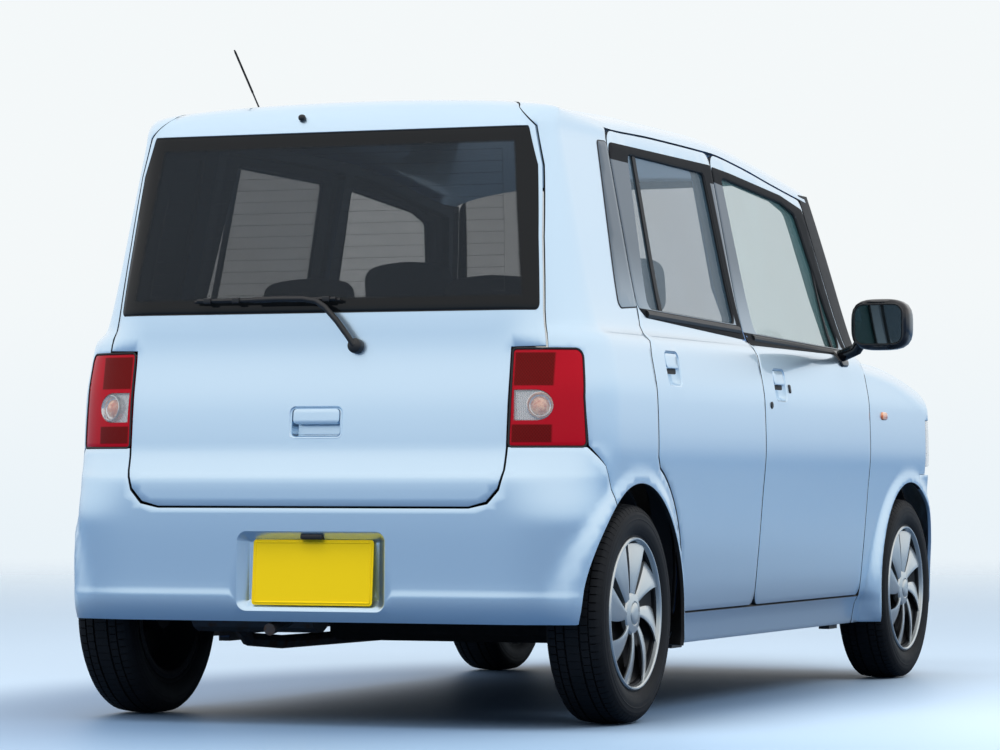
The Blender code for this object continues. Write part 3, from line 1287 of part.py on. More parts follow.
beam = tube([(-HUB_FACE_X + FIT, REAR_AXLE_Y, TYRE_RADIUS), (0, REAR_AXLE_Y, TYRE_RADIUS),
             (HUB_FACE_X - FIT, REAR_AXLE_Y, TYRE_RADIUS)], AXLE_RADIUS, 10)
axle = keep("rear_axle", beam, "black")
under_seat = SEAT_FLOOR_Z - FLOOR_WALL - FIT
under_load = LOAD_FLOOR_Z - FLOOR_WALL - FIT
for sign, label in ((1, "left"), (-1, "right")):
    path = [(sign * 0.445, REAR_AXLE_Y, TYRE_RADIUS), (sign * 0.445, 0.900, TYRE_RADIUS - 0.01),
            (sign * 0.445, 0.830, under_seat - 0.03), (sign * 0.445, 0.830, under_seat)]
    combine(axle, tube(path, 0.018, 8), "UNION", "cutter_arm_" + label)
    spring = prism(ring_of(0.042, (sign * 0.445, REAR_AXLE_Y), 12), TYRE_RADIUS, under_load, "z")
    combine(axle, spring, "UNION", "cutter_spring_" + label)

TYRE_SECTION = ((0.058, 0.0), (0.066, 0.018), (0.0775, 0.050), (0.0735, 0.078),
                (0.060, 0.095))
WHEEL_SECTION = (
    (-0.045, 0.055), (0.022, 0.060), (0.022, 0.150), (-0.066, 0.156), (-0.066, RIM_RADIUS),
    (0.060, RIM_RADIUS), (0.0690, 0.192), (0.0735, 0.178), (0.064, 0.148), (0.058, 0.070),
    (0.064, 0.034))
places = []
for sign, label in ((1, "left"), (-1, "right")):
    places.append((sign, "front_" + label, FRONT_AXLE_Y))
    places.append((sign, "rear_" + label, REAR_AXLE_Y))
for sign, label, y in places:
    centre = (sign * WHEEL_X, y, TYRE_RADIUS)
    half = [(x * TYRE_WIDTH / 0.155, RIM_RADIUS + FIT + r) for x, r in TYRE_SECTION]
    section = half + [(0.0, TYRE_RADIUS)] + [(-x, r) for x, r in reversed(half)]
    keep("tyre_" + label, turned_solid(section, centre, 24), "rubber", "wheel_" + label)
    rows = [(-HUB_INNER, 0.0)] + list(WHEEL_SECTION) + [(0.064, 0.0)]
    keep("wheel_" + label + "_rim",
         disc_solid([(sign * x, r) for x, r in rows], centre, 24), "cover", "wheel_" + label)

# Cabin
DASH = ((FIREWALL_Y + FIT, 0.620), (FIREWALL_Y + FIT, 0.950), (-0.700, 0.972), (-0.560, 0.950),
        (-0.500, 0.890), (-0.490, 0.780), (-0.530, 0.660), (-0.620, 0.610))
dashboard = keep("dashboard", prism(DASH, -0.575, 0.575), "trim")
wheel_at = Vector((DRIVER_SIDE * SEAT_X, -0.370, 0.880))
shroud = block((wheel_at.x - 0.045, -0.520, 0.810), (wheel_at.x + 0.045, SHROUD_FACE_Y, 0.890))
combine(dashboard, shroud, "UNION", "cutter_shroud")
lean = math.radians(28)
bm = bmesh.new()
ring_rows = []
for k in range(20):
    a = 2 * math.pi * k / 20
    row = []
    for j in range(6):
        b = 2 * math.pi * j / 6
        r = 0.175 + 0.013 * math.cos(b)
        p = Vector((r * math.cos(a), 0.013 * math.sin(b), r * math.sin(a)))
        row.append(bm.verts.new(wheel_at + Vector((p.x, p.y * math.cos(lean) - p.z * math.sin(lean),
                                                   p.z * math.cos(lean) + p.y * math.sin(lean)))))
    ring_rows.append(row)
for k in range(20):
    here, there = ring_rows[k], ring_rows[(k + 1) % 20]
    for j in range(6):
        bm.faces.new((here[j], here[(j + 1) % 6], there[(j + 1) % 6], there[j]))
steering = keep("steering_wheel", bm, "black")
combine(steering, block(wheel_at + Vector((-0.170, -0.022, -0.030)),
                        wheel_at + Vector((0.170, 0.010, 0.030))), "UNION", "cutter_spoke")
column = tube([wheel_at, wheel_at + Vector((0, -0.060, -0.026)),
               Vector((wheel_at.x, SHROUD_FACE_Y + FIT, wheel_at.z - 0.026))], 0.030, 10)
combine(steering, column, "UNION", "cutter_column")

SEAT = ((-0.300, SEAT_BASE_Z), (-0.315, 0.420), (-0.270, 0.490), (0.080, 0.470), (0.200, 0.900),
        (0.250, 1.060), (0.330, 1.070), (0.345, 0.960), (0.250, 0.480), (0.210, SEAT_BASE_Z))
HEADREST = ((0.255, 1.040), (0.245, 1.110), (0.275, 1.230), (0.325, 1.240), (0.355, 1.120),
            (0.335, 1.040))
for sign, label in ((1, "left"), (-1, "right")):
    seat = keep("front_seat_" + label, prism(SEAT, sign * SEAT_X - SEAT_WIDTH / 2,
                                             sign * SEAT_X + SEAT_WIDTH / 2), "cloth")
    combine(seat, prism(HEADREST, sign * SEAT_X - 0.130, sign * SEAT_X + 0.130), "UNION",
            "cutter_headrest_" + label)
REAR_SEAT = ((0.620, SEAT_FLOOR_Z + FIT), (0.600, 0.430), (0.650, 0.490), (0.930, 0.470),
             (1.040, 0.900), (1.100, 1.000), (1.170, 1.000), (1.170, 0.900), (1.010, 0.530),
             (0.975, SEAT_FLOOR_Z + FIT))
keep("rear_seat", prism(REAR_SEAT, -0.505, 0.505), "cloth")

# Below the floor
keep("fuel_tank", block((-0.400, 0.700, 0.185), (0.280, 0.960, SEAT_FLOOR_Z - FLOOR_WALL - FIT),
                        0.02), "black")
pipe = tube([(0.200, -0.950, 0.185), (0.340, -0.620, 0.180), (0.340, 0.200, 0.180),
             (0.340, 1.120, 0.185), (0.340, 1.330, 0.200), (0.320, 1.450, 0.260)], 0.018, 8)
exhaust = keep("exhaust", pipe, "steel")
combine(exhaust, prism(ring_of(0.065, (1.490, 0.290), 14), 0.060, 0.400), "UNION",
        "cutter_silencer")
combine(exhaust, tube([(0.120, 1.500, 0.280), (0.120, 1.580, 0.255), (0.120, 1.670, 0.240)],
                      0.016, 8), "UNION", "cutter_tail_pipe")
combine(exhaust, block((0.220, 1.480, 0.320), (0.240, 1.500, LOAD_FLOOR_Z - FLOOR_WALL - FIT)),
        "UNION", "cutter_hanger")

# Mirrors, wiper, aerial and front plate
for sign, label in ((1, "left"), (-1, "right")):
    shell_low = Vector((sign * 0.848, -0.500, 1.070))
    mirror = keep("mirror_" + label, block(shell_low - Vector((0.088, 0.045, 0.075)),
                                           shell_low + Vector((0.088, 0.045, 0.075)), 0.03, 2),
                  "black", "door_front_" + label)
    wall = MIRROR_BASE_X + FIT
    stay = [Vector((sign * wall, MIRROR_BASE_Y, 0.975)),
            Vector((sign * (wall + 0.016), MIRROR_BASE_Y, 0.975)),
            Vector((sign * 0.790, -0.510, 1.020))]
    combine(mirror, tube(stay, 0.016, 8), "UNION", "cutter_stay_" + label)

foot = Vector((AERIAL_X, AERIAL_Y, AERIAL_SEAT_Z + FIT))
mast = [foot + Vector((0.0, 0.006, 0.008)), foot + Vector((0.002, 0.040, 0.045)),
        foot + Vector((0.008, 0.140, 0.148))]
aerial = keep("aerial", block(foot - Vector((0.014, 0.022, 0.0)),
                              foot + Vector((0.014, 0.022, 0.014)), 0.004), "black")
combine(aerial, tube(mast, 0.0045, 8), "UNION", "cutter_mast")


def on_gate(x, z, off):
    q = Vector((x, z))
    return lay(shell, q, flat(-off))


pivot = shell(0.100, 0.950).y + 0.006
seat = block((-0.126, pivot - 0.020, 0.928), (-0.074, pivot, 0.974))
combine(gate_panel, seat, "UNION", "cutter_wiper_seat")
arm = [Vector((-0.100, pivot + FIT, 0.950)), Vector((-0.100, pivot + 0.016, 0.950)),
       on_gate(-0.06, 1.000, 0.024),
       on_gate(0.010, 1.063, 0.014), on_gate(0.180, 1.066, 0.012), on_gate(0.348, 1.066, 0.012)]
keep("rear_wiper", tube(arm, 0.007, 8), "black", "tailgate_hinge")
seat_y = FRONT_PLATE_RECESS - HALF_LENGTH
pocket = block((-half_w - 0.005, seat_y - 0.050, FRONT_PLATE_LOW - 0.005),
               (half_w + 0.005, seat_y, FRONT_PLATE_LOW + PLATE_HEIGHT + 0.005))
combine(bumper, pocket, "DIFFERENCE", "cutter_front_plate")
keep("front_plate", block((-half_w, seat_y - FIT - 0.004, FRONT_PLATE_LOW),
                          (half_w, seat_y - FIT, FRONT_PLATE_LOW + PLATE_HEIGHT)), "plate")
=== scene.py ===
# %% [markdown]
# # A small tall car, seen from behind
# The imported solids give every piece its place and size, but with few faces. This lesson dresses
# them: it draws the same panels again on the same surfaces with many more faces, rounds their
# edges, and then gives each piece the finish of the real one. The front of the car faces -Y, its
# left side is +X, and the origin lies on the ground.

# %% Load the frame
from math import acos, asin, atan2, ceil, copysign, cos, exp, hypot, pi, radians, sin, sqrt, tan
import bmesh
import bpy
from mathutils import Matrix, Vector
from mathutils.geometry import delaunay_2d_cdt


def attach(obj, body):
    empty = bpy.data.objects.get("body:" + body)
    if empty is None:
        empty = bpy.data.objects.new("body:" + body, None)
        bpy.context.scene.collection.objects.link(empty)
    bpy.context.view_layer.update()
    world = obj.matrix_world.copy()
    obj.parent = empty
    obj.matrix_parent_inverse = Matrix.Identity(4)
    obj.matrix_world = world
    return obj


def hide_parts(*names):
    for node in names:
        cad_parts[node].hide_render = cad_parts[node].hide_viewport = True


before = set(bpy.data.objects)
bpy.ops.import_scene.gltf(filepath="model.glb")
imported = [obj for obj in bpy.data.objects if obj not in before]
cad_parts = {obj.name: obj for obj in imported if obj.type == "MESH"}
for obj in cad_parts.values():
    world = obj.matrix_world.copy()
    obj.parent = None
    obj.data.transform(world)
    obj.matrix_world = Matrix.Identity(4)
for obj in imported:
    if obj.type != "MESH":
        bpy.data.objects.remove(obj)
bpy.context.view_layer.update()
SIDES = ((1, "left"), (-1, "right"))

# %% [markdown]
# ## The camera
# The picture was taken from low down, far behind the right rear corner, with a long lens. A long
# lens keeps the car's lines nearly parallel, so its distance matters more than its angle. Both
# were worked out from the known length and width of the car and of its plate.

# %% Camera
VIEW_FROM = Vector((-4.0767, 10.6736, 0.6212))
VIEW_TURN, VIEW_LIFT = radians(-68.35), radians(1.49)
LENS, SENSOR = 142.04, 36.0

along = Vector((cos(VIEW_TURN) * cos(VIEW_LIFT),
                sin(VIEW_TURN) * cos(VIEW_LIFT), sin(VIEW_LIFT)))
across = Vector((sin(VIEW_TURN), -cos(VIEW_TURN), 0.0))
above = across.cross(along)
camera = bpy.data.objects.new("camera", bpy.data.cameras.new("camera"))
camera.matrix_world = Matrix.Translation(VIEW_FROM) @ Matrix(
    (across, above, -along)).transposed().to_4x4()
camera.data.lens = LENS
camera.data.sensor_width = SENSOR
camera.data.clip_end = 200.0
bpy.context.collection.objects.link(camera)
bpy.context.scene.camera = camera
print("camera looks along", [round(c, 3) for c in along])

# %% [markdown]
# ## Sums for finishes
# A finish is a tree of nodes, and a tree written node by node is hard to read. The function below
# makes a node from its kind, its settings and the values of its sockets, and the first class
# wraps what a node gives, so that a sum such as `1 - mask * 0.3` adds the Math nodes by itself.
# The same two serve the finishes, the world's light and the geometry nodes further down.

# %% Writing shader maths as sums
def node(tree, kind, settings=None, sockets=None, out=0):
    made = tree.nodes.new(kind)
    for key, value in (settings or {}).items():
        setattr(made, key, value)
    for key, value in (sockets or {}).items():
        if isinstance(value, Value):
            tree.links.new(value.socket, made.inputs[key])
        else:
            made.inputs[key].default_value = value
    return Value(tree, made.outputs[out])


class Value:
    """A number or colour that changes over a surface."""

    def __init__(self, tree, socket):
        self.tree = tree
        self.socket = socket

    def sum(self, operation, *terms):
        return node(self.tree, "ShaderNodeMath", {"operation": operation}, dict(enumerate(terms)))

    def __add__(self, other):
        return self.sum("ADD", self, other)

    def __sub__(self, other):
        return self.sum("SUBTRACT", self, other)

    def __rsub__(self, other):
        return self.sum("SUBTRACT", other, self)

    def __mul__(self, other):
        return self.sum("MULTIPLY", self, other)

    def __truediv__(self, other):
        return self.sum("DIVIDE", self, other)

    def __pow__(self, other):
        return self.sum("POWER", self, other)

    __radd__, __rmul__ = __add__, __mul__

    def size(self):
        return self.sum("ABSOLUTE", self)

    def sine(self):
        return self.sum("SINE", self)

    def lower(self, other):
        return self.sum("MINIMUM", self, other)

    def higher(self, other):
        return self.sum("MAXIMUM", self, other)

    def step(self, low, high):
        """Nought below low, one above high, and smooth between."""
        return node(self.tree, "ShaderNodeMapRange", {"interpolation_type": "SMOOTHSTEP"},
                    {"Value": self, "From Min": low, "From Max": high})

    def between(self, low, high, soft):
        """One between two limits, nought outside them, with soft ends."""
        return self.step(low - soft, low + soft) * (1.0 - self.step(high - soft, high + soft))

    def mix(self, first, second):
        """From the first colour to the second, as this value goes from nought to one."""
        first, second = [c if isinstance(c, Value) else (*c, 1.0) for c in (first, second)]
        return node(self.tree, "ShaderNodeMix", {"data_type": "RGBA"}, {0: self, 6: first, 7: second}, 2)

    def axes(self):
        apart = node(self.tree, "ShaderNodeSeparateXYZ", sockets={0: self}).socket.node
        return [Value(self.tree, apart.outputs[i]) for i in range(3)]


def waves(x, z, pitch_x, pitch_z):
    """A field of small dots, from nought to one."""
    return ((x * pitch_x).sine() * (z * pitch_z).sine() + 1.0) * 0.5


class Finish:
    """A material with one shader, made by name."""

    def __init__(self, name, colour=None, rough=None, metal=0.0, **fixed):
        self.material = bpy.data.materials.new(name)
        self.material.use_nodes = True
        self.tree = self.material.node_tree
        self.shader = self.tree.nodes["Principled BSDF"]
        if colour:
            self.set("Base Color", (*colour, 1.0))
        if rough:
            self.set("Roughness", rough)
        self.set("Metallic", metal)
        for socket, value in fixed.items():
            self.set(socket.replace("_", " ").title().replace("Ior", "IOR"), value)

    def set(self, socket, value):
        if isinstance(value, Value):
            self.tree.links.new(value.socket, self.shader.inputs[socket])
        else:
            self.shader.inputs[socket].default_value = value

    def node(self, kind, settings=None, sockets=None, out=0):
        return node(self.tree, "ShaderNode" + kind, settings, sockets, out)

    def place(self):
        return self.node("TexCoord", out="Object")

    def axes(self):
        return self.place().axes()

    def noise(self, scale, detail=3.0, rough=0.5):
        return self.node("TexNoise", sockets={"Vector": self.place(), "Scale": scale,
                                              "Detail": detail, "Roughness": rough})

    def colour(self, mask, first, second):
        self.set("Base Color", mask.mix(first, second))

    def bump(self, height, depth, strength=1.0):
        self.set("Normal", self.node("Bump", sockets={"Height": height, "Distance": depth,
                                                      "Strength": strength}))


# %% [markdown]
# ## Paint
# The body is a pale blue metallic paint. Such a paint is three layers: a coloured base, fine
# aluminium flakes in it, and a clear lacquer on top. The flakes are smaller than a pixel here, so
# they only make the base metallic, and its colour and roughness uneven; the lacquer is the coat,
# which gives the sharp reflections. A very faint waviness keeps the panels from looking like
# glass.

# %% Finishes of the body
paint = Finish("pale_blue_paint", metal=0.9, coat_weight=1.0, coat_roughness=0.04)
flakes = paint.noise(2600.0, 2.0, 0.6)
cloud = paint.noise(3.0, 2.0)
paint.colour((flakes - 0.5) * 0.5 + (cloud - 0.5) * 0.35 + 0.5,
             (0.58, 0.755, 0.91), (0.625, 0.795, 0.94))
paint.set("Roughness", 0.31 + (flakes - 0.5) * 0.12)
paint.bump(paint.noise(420.0, 2.0), 0.00001, 0.35)
PAINT = paint.material

# %% [markdown]
# ## Black parts
# Several blacks show on a car: the soft black of rubber seals, the grained black of moulded
# plastic, the gloss black of the mirrors, and the dull black of the coated metal below the floor.
# They differ in gloss and in grain more than in colour, so each is its own finish. The film round
# the side windows is dark grey, paled towards the belt by a painted reflection, with black along
# the edges where the seals lie. There the gloss changes too, so it is two shaders, mixed by a mask.

# %% Black finishes
moulded = Finish("black_moulded_plastic", (0.012, 0.012, 0.013))
grain = moulded.noise(900.0, 3.0, 0.6)
moulded.set("Roughness", 0.36 + grain * 0.16)
moulded.bump(grain, 0.00004, 0.5)
MOULDED = moulded.material

seal = Finish("black_seal_rubber")
worn = seal.noise(60.0, 4.0, 0.6)
seal.colour(worn, (0.008, 0.008, 0.009), (0.02, 0.02, 0.021))
seal.set("Roughness", 0.55 + worn * 0.18)
SEAL = seal.material

FILM_TOP_GREY, FILM_PAINTED_REFLECTION_LOW, RIM_BLACK = (0.06, 0.085, 0.11), (0.23, 0.285, 0.33), (0.004, 0.005, 0.007)


def window_film(name, top=None, low=None, ahead=None):
    """Gloss film round a window: dark grey with a painted reflection that pales it towards the belt,
    and black along the edges where the seals lie.

    The top and low edges of the window are given as a height and a slope, and the front edge as
    a place, a slope and how wide it is black ahead of it. Without them no edge is black.
    """
    film = Finish(name, rough=0.12, specular_ior_level=0.3)
    y, z = film.place().axes()[1:]
    # Painted reflection: the film goes from dark grey at the top to a lighter grey towards the belt.
    film.colour((z + film.noise(3.0, 2.0) * 0.04).step(1.02, 1.26), FILM_PAINTED_REFLECTION_LOW, FILM_TOP_GREY)
    if not top:
        return film.material
    soft = 0.001
    rim = (z - y * top[1]).between(top[0] - 0.03, top[0] + 0.022, soft)
    rim = rim.higher(1.0 - (z - y * low[1]).step(low[0] + 0.002 - soft, low[0] + 0.002 + soft))
    rim = rim.higher((y - z * ahead[1]).between(ahead[0] - ahead[2], ahead[0] + 0.004, soft))
    black = film.node("BsdfPrincipled", sockets={
        "Base Color": (*RIM_BLACK, 1.0), "Roughness": 0.52, "Specular IOR Level": 0.06})
    both = film.node("MixShader", sockets={0: rim, 1: Value(film.tree, film.shader.outputs[0]), 2: black})
    film.tree.links.new(both.socket, film.tree.nodes["Material Output"].inputs["Surface"])
    return film.material


gloss = Finish("black_gloss_shell", (0.006, 0.006, 0.008))
gloss.set("Roughness", 0.08 + gloss.noise(30.0, 2.0) * 0.05)
GLOSS = gloss.material

under = Finish("underbody_coating", rough=0.85)
under.colour(under.noise(22.0, 5.0, 0.65), (0.006, 0.006, 0.006), (0.03, 0.028, 0.026))
under.bump(under.noise(160.0, 4.0), 0.0006, 0.5)
UNDER = under.material

steel = Finish("dark_steel", metal=0.7)
rust = steel.noise(35.0, 5.0, 0.6)
steel.colour(rust.step(0.45, 0.75), (0.085, 0.085, 0.09), (0.1, 0.055, 0.035))
steel.set("Roughness", 0.42 + rust * 0.3)
STEEL = steel.material

trim = Finish("dark_cabin_trim", rough=0.7)
pebble = trim.node("TexVoronoi", sockets={"Vector": trim.place(), "Scale": 520.0})
trim.colour(pebble, (0.026, 0.027, 0.029), (0.046, 0.047, 0.051))
trim.bump(pebble, 0.0002, 0.5)
TRIM = trim.material
print("materials", len(bpy.data.materials))

# %% [markdown]
# ## The surfaces of the body
# A pressed panel is a piece of one large smooth surface, cut out along its edges. So the
# surfaces come first, as functions: one goes round the sides and the tail, one round the wings
# and the nose, and there is one each for the roof, the bonnet and the windscreen. Short tables
# give how far they stand in from a plain box at each height, and a smooth curve runs through
# each table.

# %% Tables of the body's shape
LENGTH, WIDTH, HEIGHT = 3.395, 1.475, 1.63
HALF_WIDTH, HALF_LENGTH = WIDTH / 2, LENGTH / 2
TAIL_CORNER, NOSE_CORNER = 0.26, 0.3
REAR_AXLE_Y, FRONT_AXLE_Y = 1.29, -1.2
WHEEL_X, TYRE_RADIUS, RIM_RADIUS = 0.65, 0.2785, 0.1778
ARCH_RADIUS, DOOR_ARCH = 0.328, 0.398
PANEL_GAP = 0.005
ROOF_REAR_Y, ROLL_START, ROLL = 1.42, 1.5, 0.11
SHELL_TOP = ROLL_START + ROLL
BONNET_INSET, WING_ROLL = 0.1375, 0.11
DOOR_FRONT_Y, DOOR_SPLIT_Y, DOOR_REAR_Y, DOOR_REAR_TOP_Y = -0.757, 0.265, 1.157, 1.103
DOOR_BOTTOM, SILL_BOTTOM, BELT = 0.27, 0.185, 1.03

SIDE_INSET = (
    (0.15, 0.068), (0.2, 0.061), (0.256, 0.0495), (0.27, 0.04), (0.394, 0.0255),
    (0.577, 0.0095), (0.7, 0.0), (0.83, 0.0035), (0.916, 0.0165), (0.97, 0.0295),
    (1.0, 0.06), (1.03, 0.071), (1.11, 0.0905), (1.275, 0.1225), (1.414, 0.1485),
    (1.519, 0.1685), (1.7, 0.205))
TAIL_INSET = (
    (0.15, 0.06), (0.26, 0.022), (0.3, 0.0075), (0.326, 0.006), (0.336, 0.0073),
    (0.345, 0.0082), (0.5, 0.0105), (0.6, 0.014), (0.622, 0.016), (0.636, 0.0215),
    (0.672, 0.0325), (0.69, 0.0362), (0.72, 0.039), (0.81, 0.049), (0.94, 0.0715),
    (1.035, 0.0805), (1.5, 0.1775), (1.7, 0.22))
NOSE_INSET = (
    (0.15, 0.05), (0.2, 0.02), (0.3, 0.0), (0.45, 0.0), (0.55, 0.006),
    (0.65, 0.02), (0.75, 0.04), (0.83, 0.062), (0.9, 0.09))
TAIL_CORNER_INSET = ((0.3, -0.028), (0.5, -0.028), (0.62, -0.012), (0.7, 0.0))
NOSE_CORNER_INSET = (
    (0.42, 0.0), (0.52, 0.012), (0.615, 0.035), (0.71, 0.06), (0.82, 0.08), (0.93, 0.12))
CROWN_DROP = (
    (-0.8, 0.088), (-0.62, 0.067), (-0.3, 0.027), (0.2, 0.0), (0.8, 0.005),
    (1.2, 0.025), (1.45, 0.048))
EDGE_DROP = (
    (-0.65, 0.194), (-0.41, 0.169), (-0.247, 0.151), (-0.015, 0.124), (0.27, 0.103),
    (0.75, 0.1), (1.05, 0.104), (1.2, 0.096), (1.42, 0.082))
BONNET_LINE = (
    (-1.62, 0.885), (-1.56, 0.91), (-1.4, 0.952), (-1.2, 0.983), (-1.05, 0.998),
    (-0.8, 1.005))


# %% Smooth curves and the plan of the body
def slopes(table):
    secants = [(q[1] - p[1]) / (q[0] - p[0]) for p, q in zip(table, table[1:])]
    inner = [0.0 if a * b <= 0 else 2 * a * b / (a + b) for a, b in zip(secants, secants[1:])]
    return [secants[0]] + inner + [secants[-1]]


SLOPES = {}


def at(table, place):
    """The smooth curve through a table of (place, value) pairs."""
    if place <= table[0][0]:
        return table[0][1]
    if place >= table[-1][0]:
        return table[-1][1]
    if table not in SLOPES:
        SLOPES[table] = slopes(table)
    k = max(i for i in range(len(table) - 1) if table[i][0] <= place)
    width = table[k + 1][0] - table[k][0]
    u = (place - table[k][0]) / width
    m, n = SLOPES[table][k] * width, SLOPES[table][k + 1] * width
    return ((2 * u ** 3 - 3 * u ** 2 + 1) * table[k][1] + (u ** 3 - 2 * u ** 2 + u) * m
            + (3 * u ** 2 - 2 * u ** 3) * table[k + 1][1] + (u ** 3 - u ** 2) * n)


def ease(low, high, value):
    u = min(max((value - low) / (high - low), 0.0), 1.0)
    return u * u * (3 - 2 * u)


def solve(function, target, low, high):
    rising = function(high) > function(low)
    for _ in range(40):
        middle = (low + high) / 2
        if (function(middle) < target) == rising:
            low = middle
        else:
            high = middle
    return (low + high) / 2


TAIL_FLAT = HALF_WIDTH - TAIL_CORNER
TAIL_TURN = TAIL_FLAT + TAIL_CORNER * pi / 2
SIDE_START_Y = HALF_LENGTH - TAIL_CORNER
SIDE_END = TAIL_TURN + LENGTH - TAIL_CORNER - NOSE_CORNER
NOSE_TURN = SIDE_END + NOSE_CORNER * pi / 2
NOSE_MIDDLE = NOSE_TURN + HALF_WIDTH - NOSE_CORNER


def outline(t):
    """Plan outline: point and outward normal, t metres from the middle of the tail."""
    if t < TAIL_FLAT:
        return t, HALF_LENGTH, 0.0, 1.0
    if t < TAIL_TURN:
        a = (t - TAIL_FLAT) / TAIL_CORNER
        return (TAIL_FLAT + TAIL_CORNER * sin(a), SIDE_START_Y + TAIL_CORNER * cos(a),
                sin(a), cos(a))
    if t < SIDE_END:
        return HALF_WIDTH, SIDE_START_Y - (t - TAIL_TURN), 1.0, 0.0
    if t < NOSE_TURN:
        a = (t - SIDE_END) / NOSE_CORNER
        return (HALF_WIDTH - NOSE_CORNER + NOSE_CORNER * cos(a),
                NOSE_CORNER - HALF_LENGTH - NOSE_CORNER * sin(a), cos(a), -sin(a))
    return NOSE_MIDDLE - t, -HALF_LENGTH, 0.0, -1.0


# %% The surfaces themselves
def flare(y, z):
    axle = REAR_AXLE_Y if y > 0 else FRONT_AXLE_Y
    return 1.0 - ease(0.008, 0.05, hypot(y - axle, z - TYRE_RADIUS) - ARCH_RADIUS)


def inset_at(t, z):
    _, y, nx, ny = outline(t)
    side = at(SIDE_INSET, z) * (1.0 - flare(y, z))
    end = at(TAIL_INSET if ny >= 0 else NOSE_INSET, z)
    corner = at(TAIL_CORNER_INSET if ny >= 0 else NOSE_CORNER_INSET, z)
    return nx * nx * side + ny * ny * end + 4 * nx * nx * ny * ny * corner


def half_width(z):
    return HALF_WIDTH - at(SIDE_INSET, z)


def roof_edge_z(y):
    return HEIGHT - at(EDGE_DROP, y)


def roof_z(x, y):
    edge = roof_edge_z(y)
    part = min(abs(x) / half_width(edge), 1.0)
    return edge + (HEIGHT - at(CROWN_DROP, y) - edge) * sqrt(1 - part * part)


def bonnet_z(x, y):
    return at(BONNET_LINE, y) - 0.025 * (x / (HALF_WIDTH - BONNET_INSET)) ** 2


def turned(p, edge, part):
    turn = min(max(part, 0.0), 1.0) * pi / 2
    p.x += (edge.x - p.x) * (1 - cos(turn))
    p.y += (edge.y - p.y) * (1 - cos(turn))
    p.z += (edge.z - p.z) * sin(turn)
    return p


def roof_rim(t):
    x, y, nx, ny = outline(t)
    y = min(y, ROOF_REAR_Y)
    wide = half_width(roof_edge_z(y))
    if ny > 0:
        x = t if t < TAIL_FLAT else TAIL_FLAT + (wide - TAIL_FLAT) * asin(nx) / (pi / 2)
    else:
        x = wide
    return Vector((x, y, roof_z(x, y)))


def shell(t, s):
    """The sides and the tail: s is the height, up to where the wall rolls into the roof."""
    x, y, nx, ny = outline(abs(t))
    z = min(s, ROLL_START)
    inset = inset_at(abs(t), z)
    p = Vector((x - inset * nx, y - inset * ny, z))
    if s > ROLL_START:
        p = turned(p, roof_rim(abs(t)), (s - ROLL_START) / ROLL)
    p.x = copysign(p.x, t)
    return p


def side(t, z):
    """The side as seen square on, with no roll at the top: the doors lie on it."""
    return Vector((HALF_WIDTH - inset_at(t, z), outline(t)[1], z))


def nose_wall_top(t):
    x, y, nx, ny = outline(t)
    x, y = x - BONNET_INSET * nx, y - BONNET_INSET * ny
    rise = 0.055 + 0.05 * ease(0.0, 0.6, DOOR_FRONT_Y - y)
    return Vector((x, y, bonnet_z(x, y))), rise


def nose(t, s):
    """The wings and the nose, with t running on past the middle to the right side."""
    flip = 1.0 if t <= NOSE_MIDDLE else -1.0
    t = min(t, 2 * NOSE_MIDDLE - t)
    edge, rise = nose_wall_top(t)
    start = edge.z - rise
    z = min(s, start)
    x, y, nx, ny = outline(t)
    inset = inset_at(t, z)
    p = Vector((x - inset * nx, y - inset * ny, z))
    if s > start:
        p = turned(p, edge, (s - start) / WING_ROLL)
    p.x *= flip
    return p


def nose_top(t):
    edge, rise = nose_wall_top(t)
    return edge.z - rise + WING_ROLL


def roof(a, y):
    """The roof: a runs across from rim to rim, y along the car."""
    edge = roof_edge_z(y)
    wide = half_width(edge)
    turn = min(max(a / wide, -1.0), 1.0) * pi / 2
    rise = HEIGHT - at(CROWN_DROP, y) - edge
    return Vector((wide * sin(turn), y, edge + rise * cos(turn)))


def screen_top_y(x):
    return -0.74 + 0.12 * (x / 0.545) ** 2


def screen(a, b):
    """The windscreen: a across and b up the glass, both from 0 to 1 at its edges."""
    foot = Vector((0.645 * a, -1.02 + 0.2 * a * a, 1.003))
    x = 0.545 * a
    y = screen_top_y(x)
    top = Vector((x, y - 0.006, roof_z(x, y) - 0.004))
    bow = 4 * b * (1 - b) * 0.012
    return foot.lerp(top, b) + Vector((0, -bow, bow * 0.5))


def side_t(y):
    return TAIL_TURN + SIDE_START_Y - y


def tail_t(x, z):
    return solve(lambda t: shell(t, z).x, x, 0.0, TAIL_TURN)


def wall_t(y, z):
    if y < SIDE_START_Y - 0.02:
        return side_t(y)
    return solve(lambda t: shell(t, z).y, y, TAIL_FLAT * 0.5, TAIL_TURN + 0.2)


def mirrored(surface, sign):
    def other(a, b):
        p = surface(a, b)
        return Vector((p.x * sign, p.y, p.z))
    return other


print("half width at the belt", round(half_width(BELT), 4))

# %% [markdown]
# ## Cutting a panel out of a surface
# A panel could be modelled by hand from a plane, but then every edge has to be pulled onto the
# surface. Here its outline is drawn flat, in the two numbers that the surface takes, and the
# inside is filled with an even net of points. A constrained Delaunay mesh joins both, and only
# then does the surface lift every point into space. The rim is a few rings of points: the first
# ones round the edge over, and the last one gives the panel its thickness.

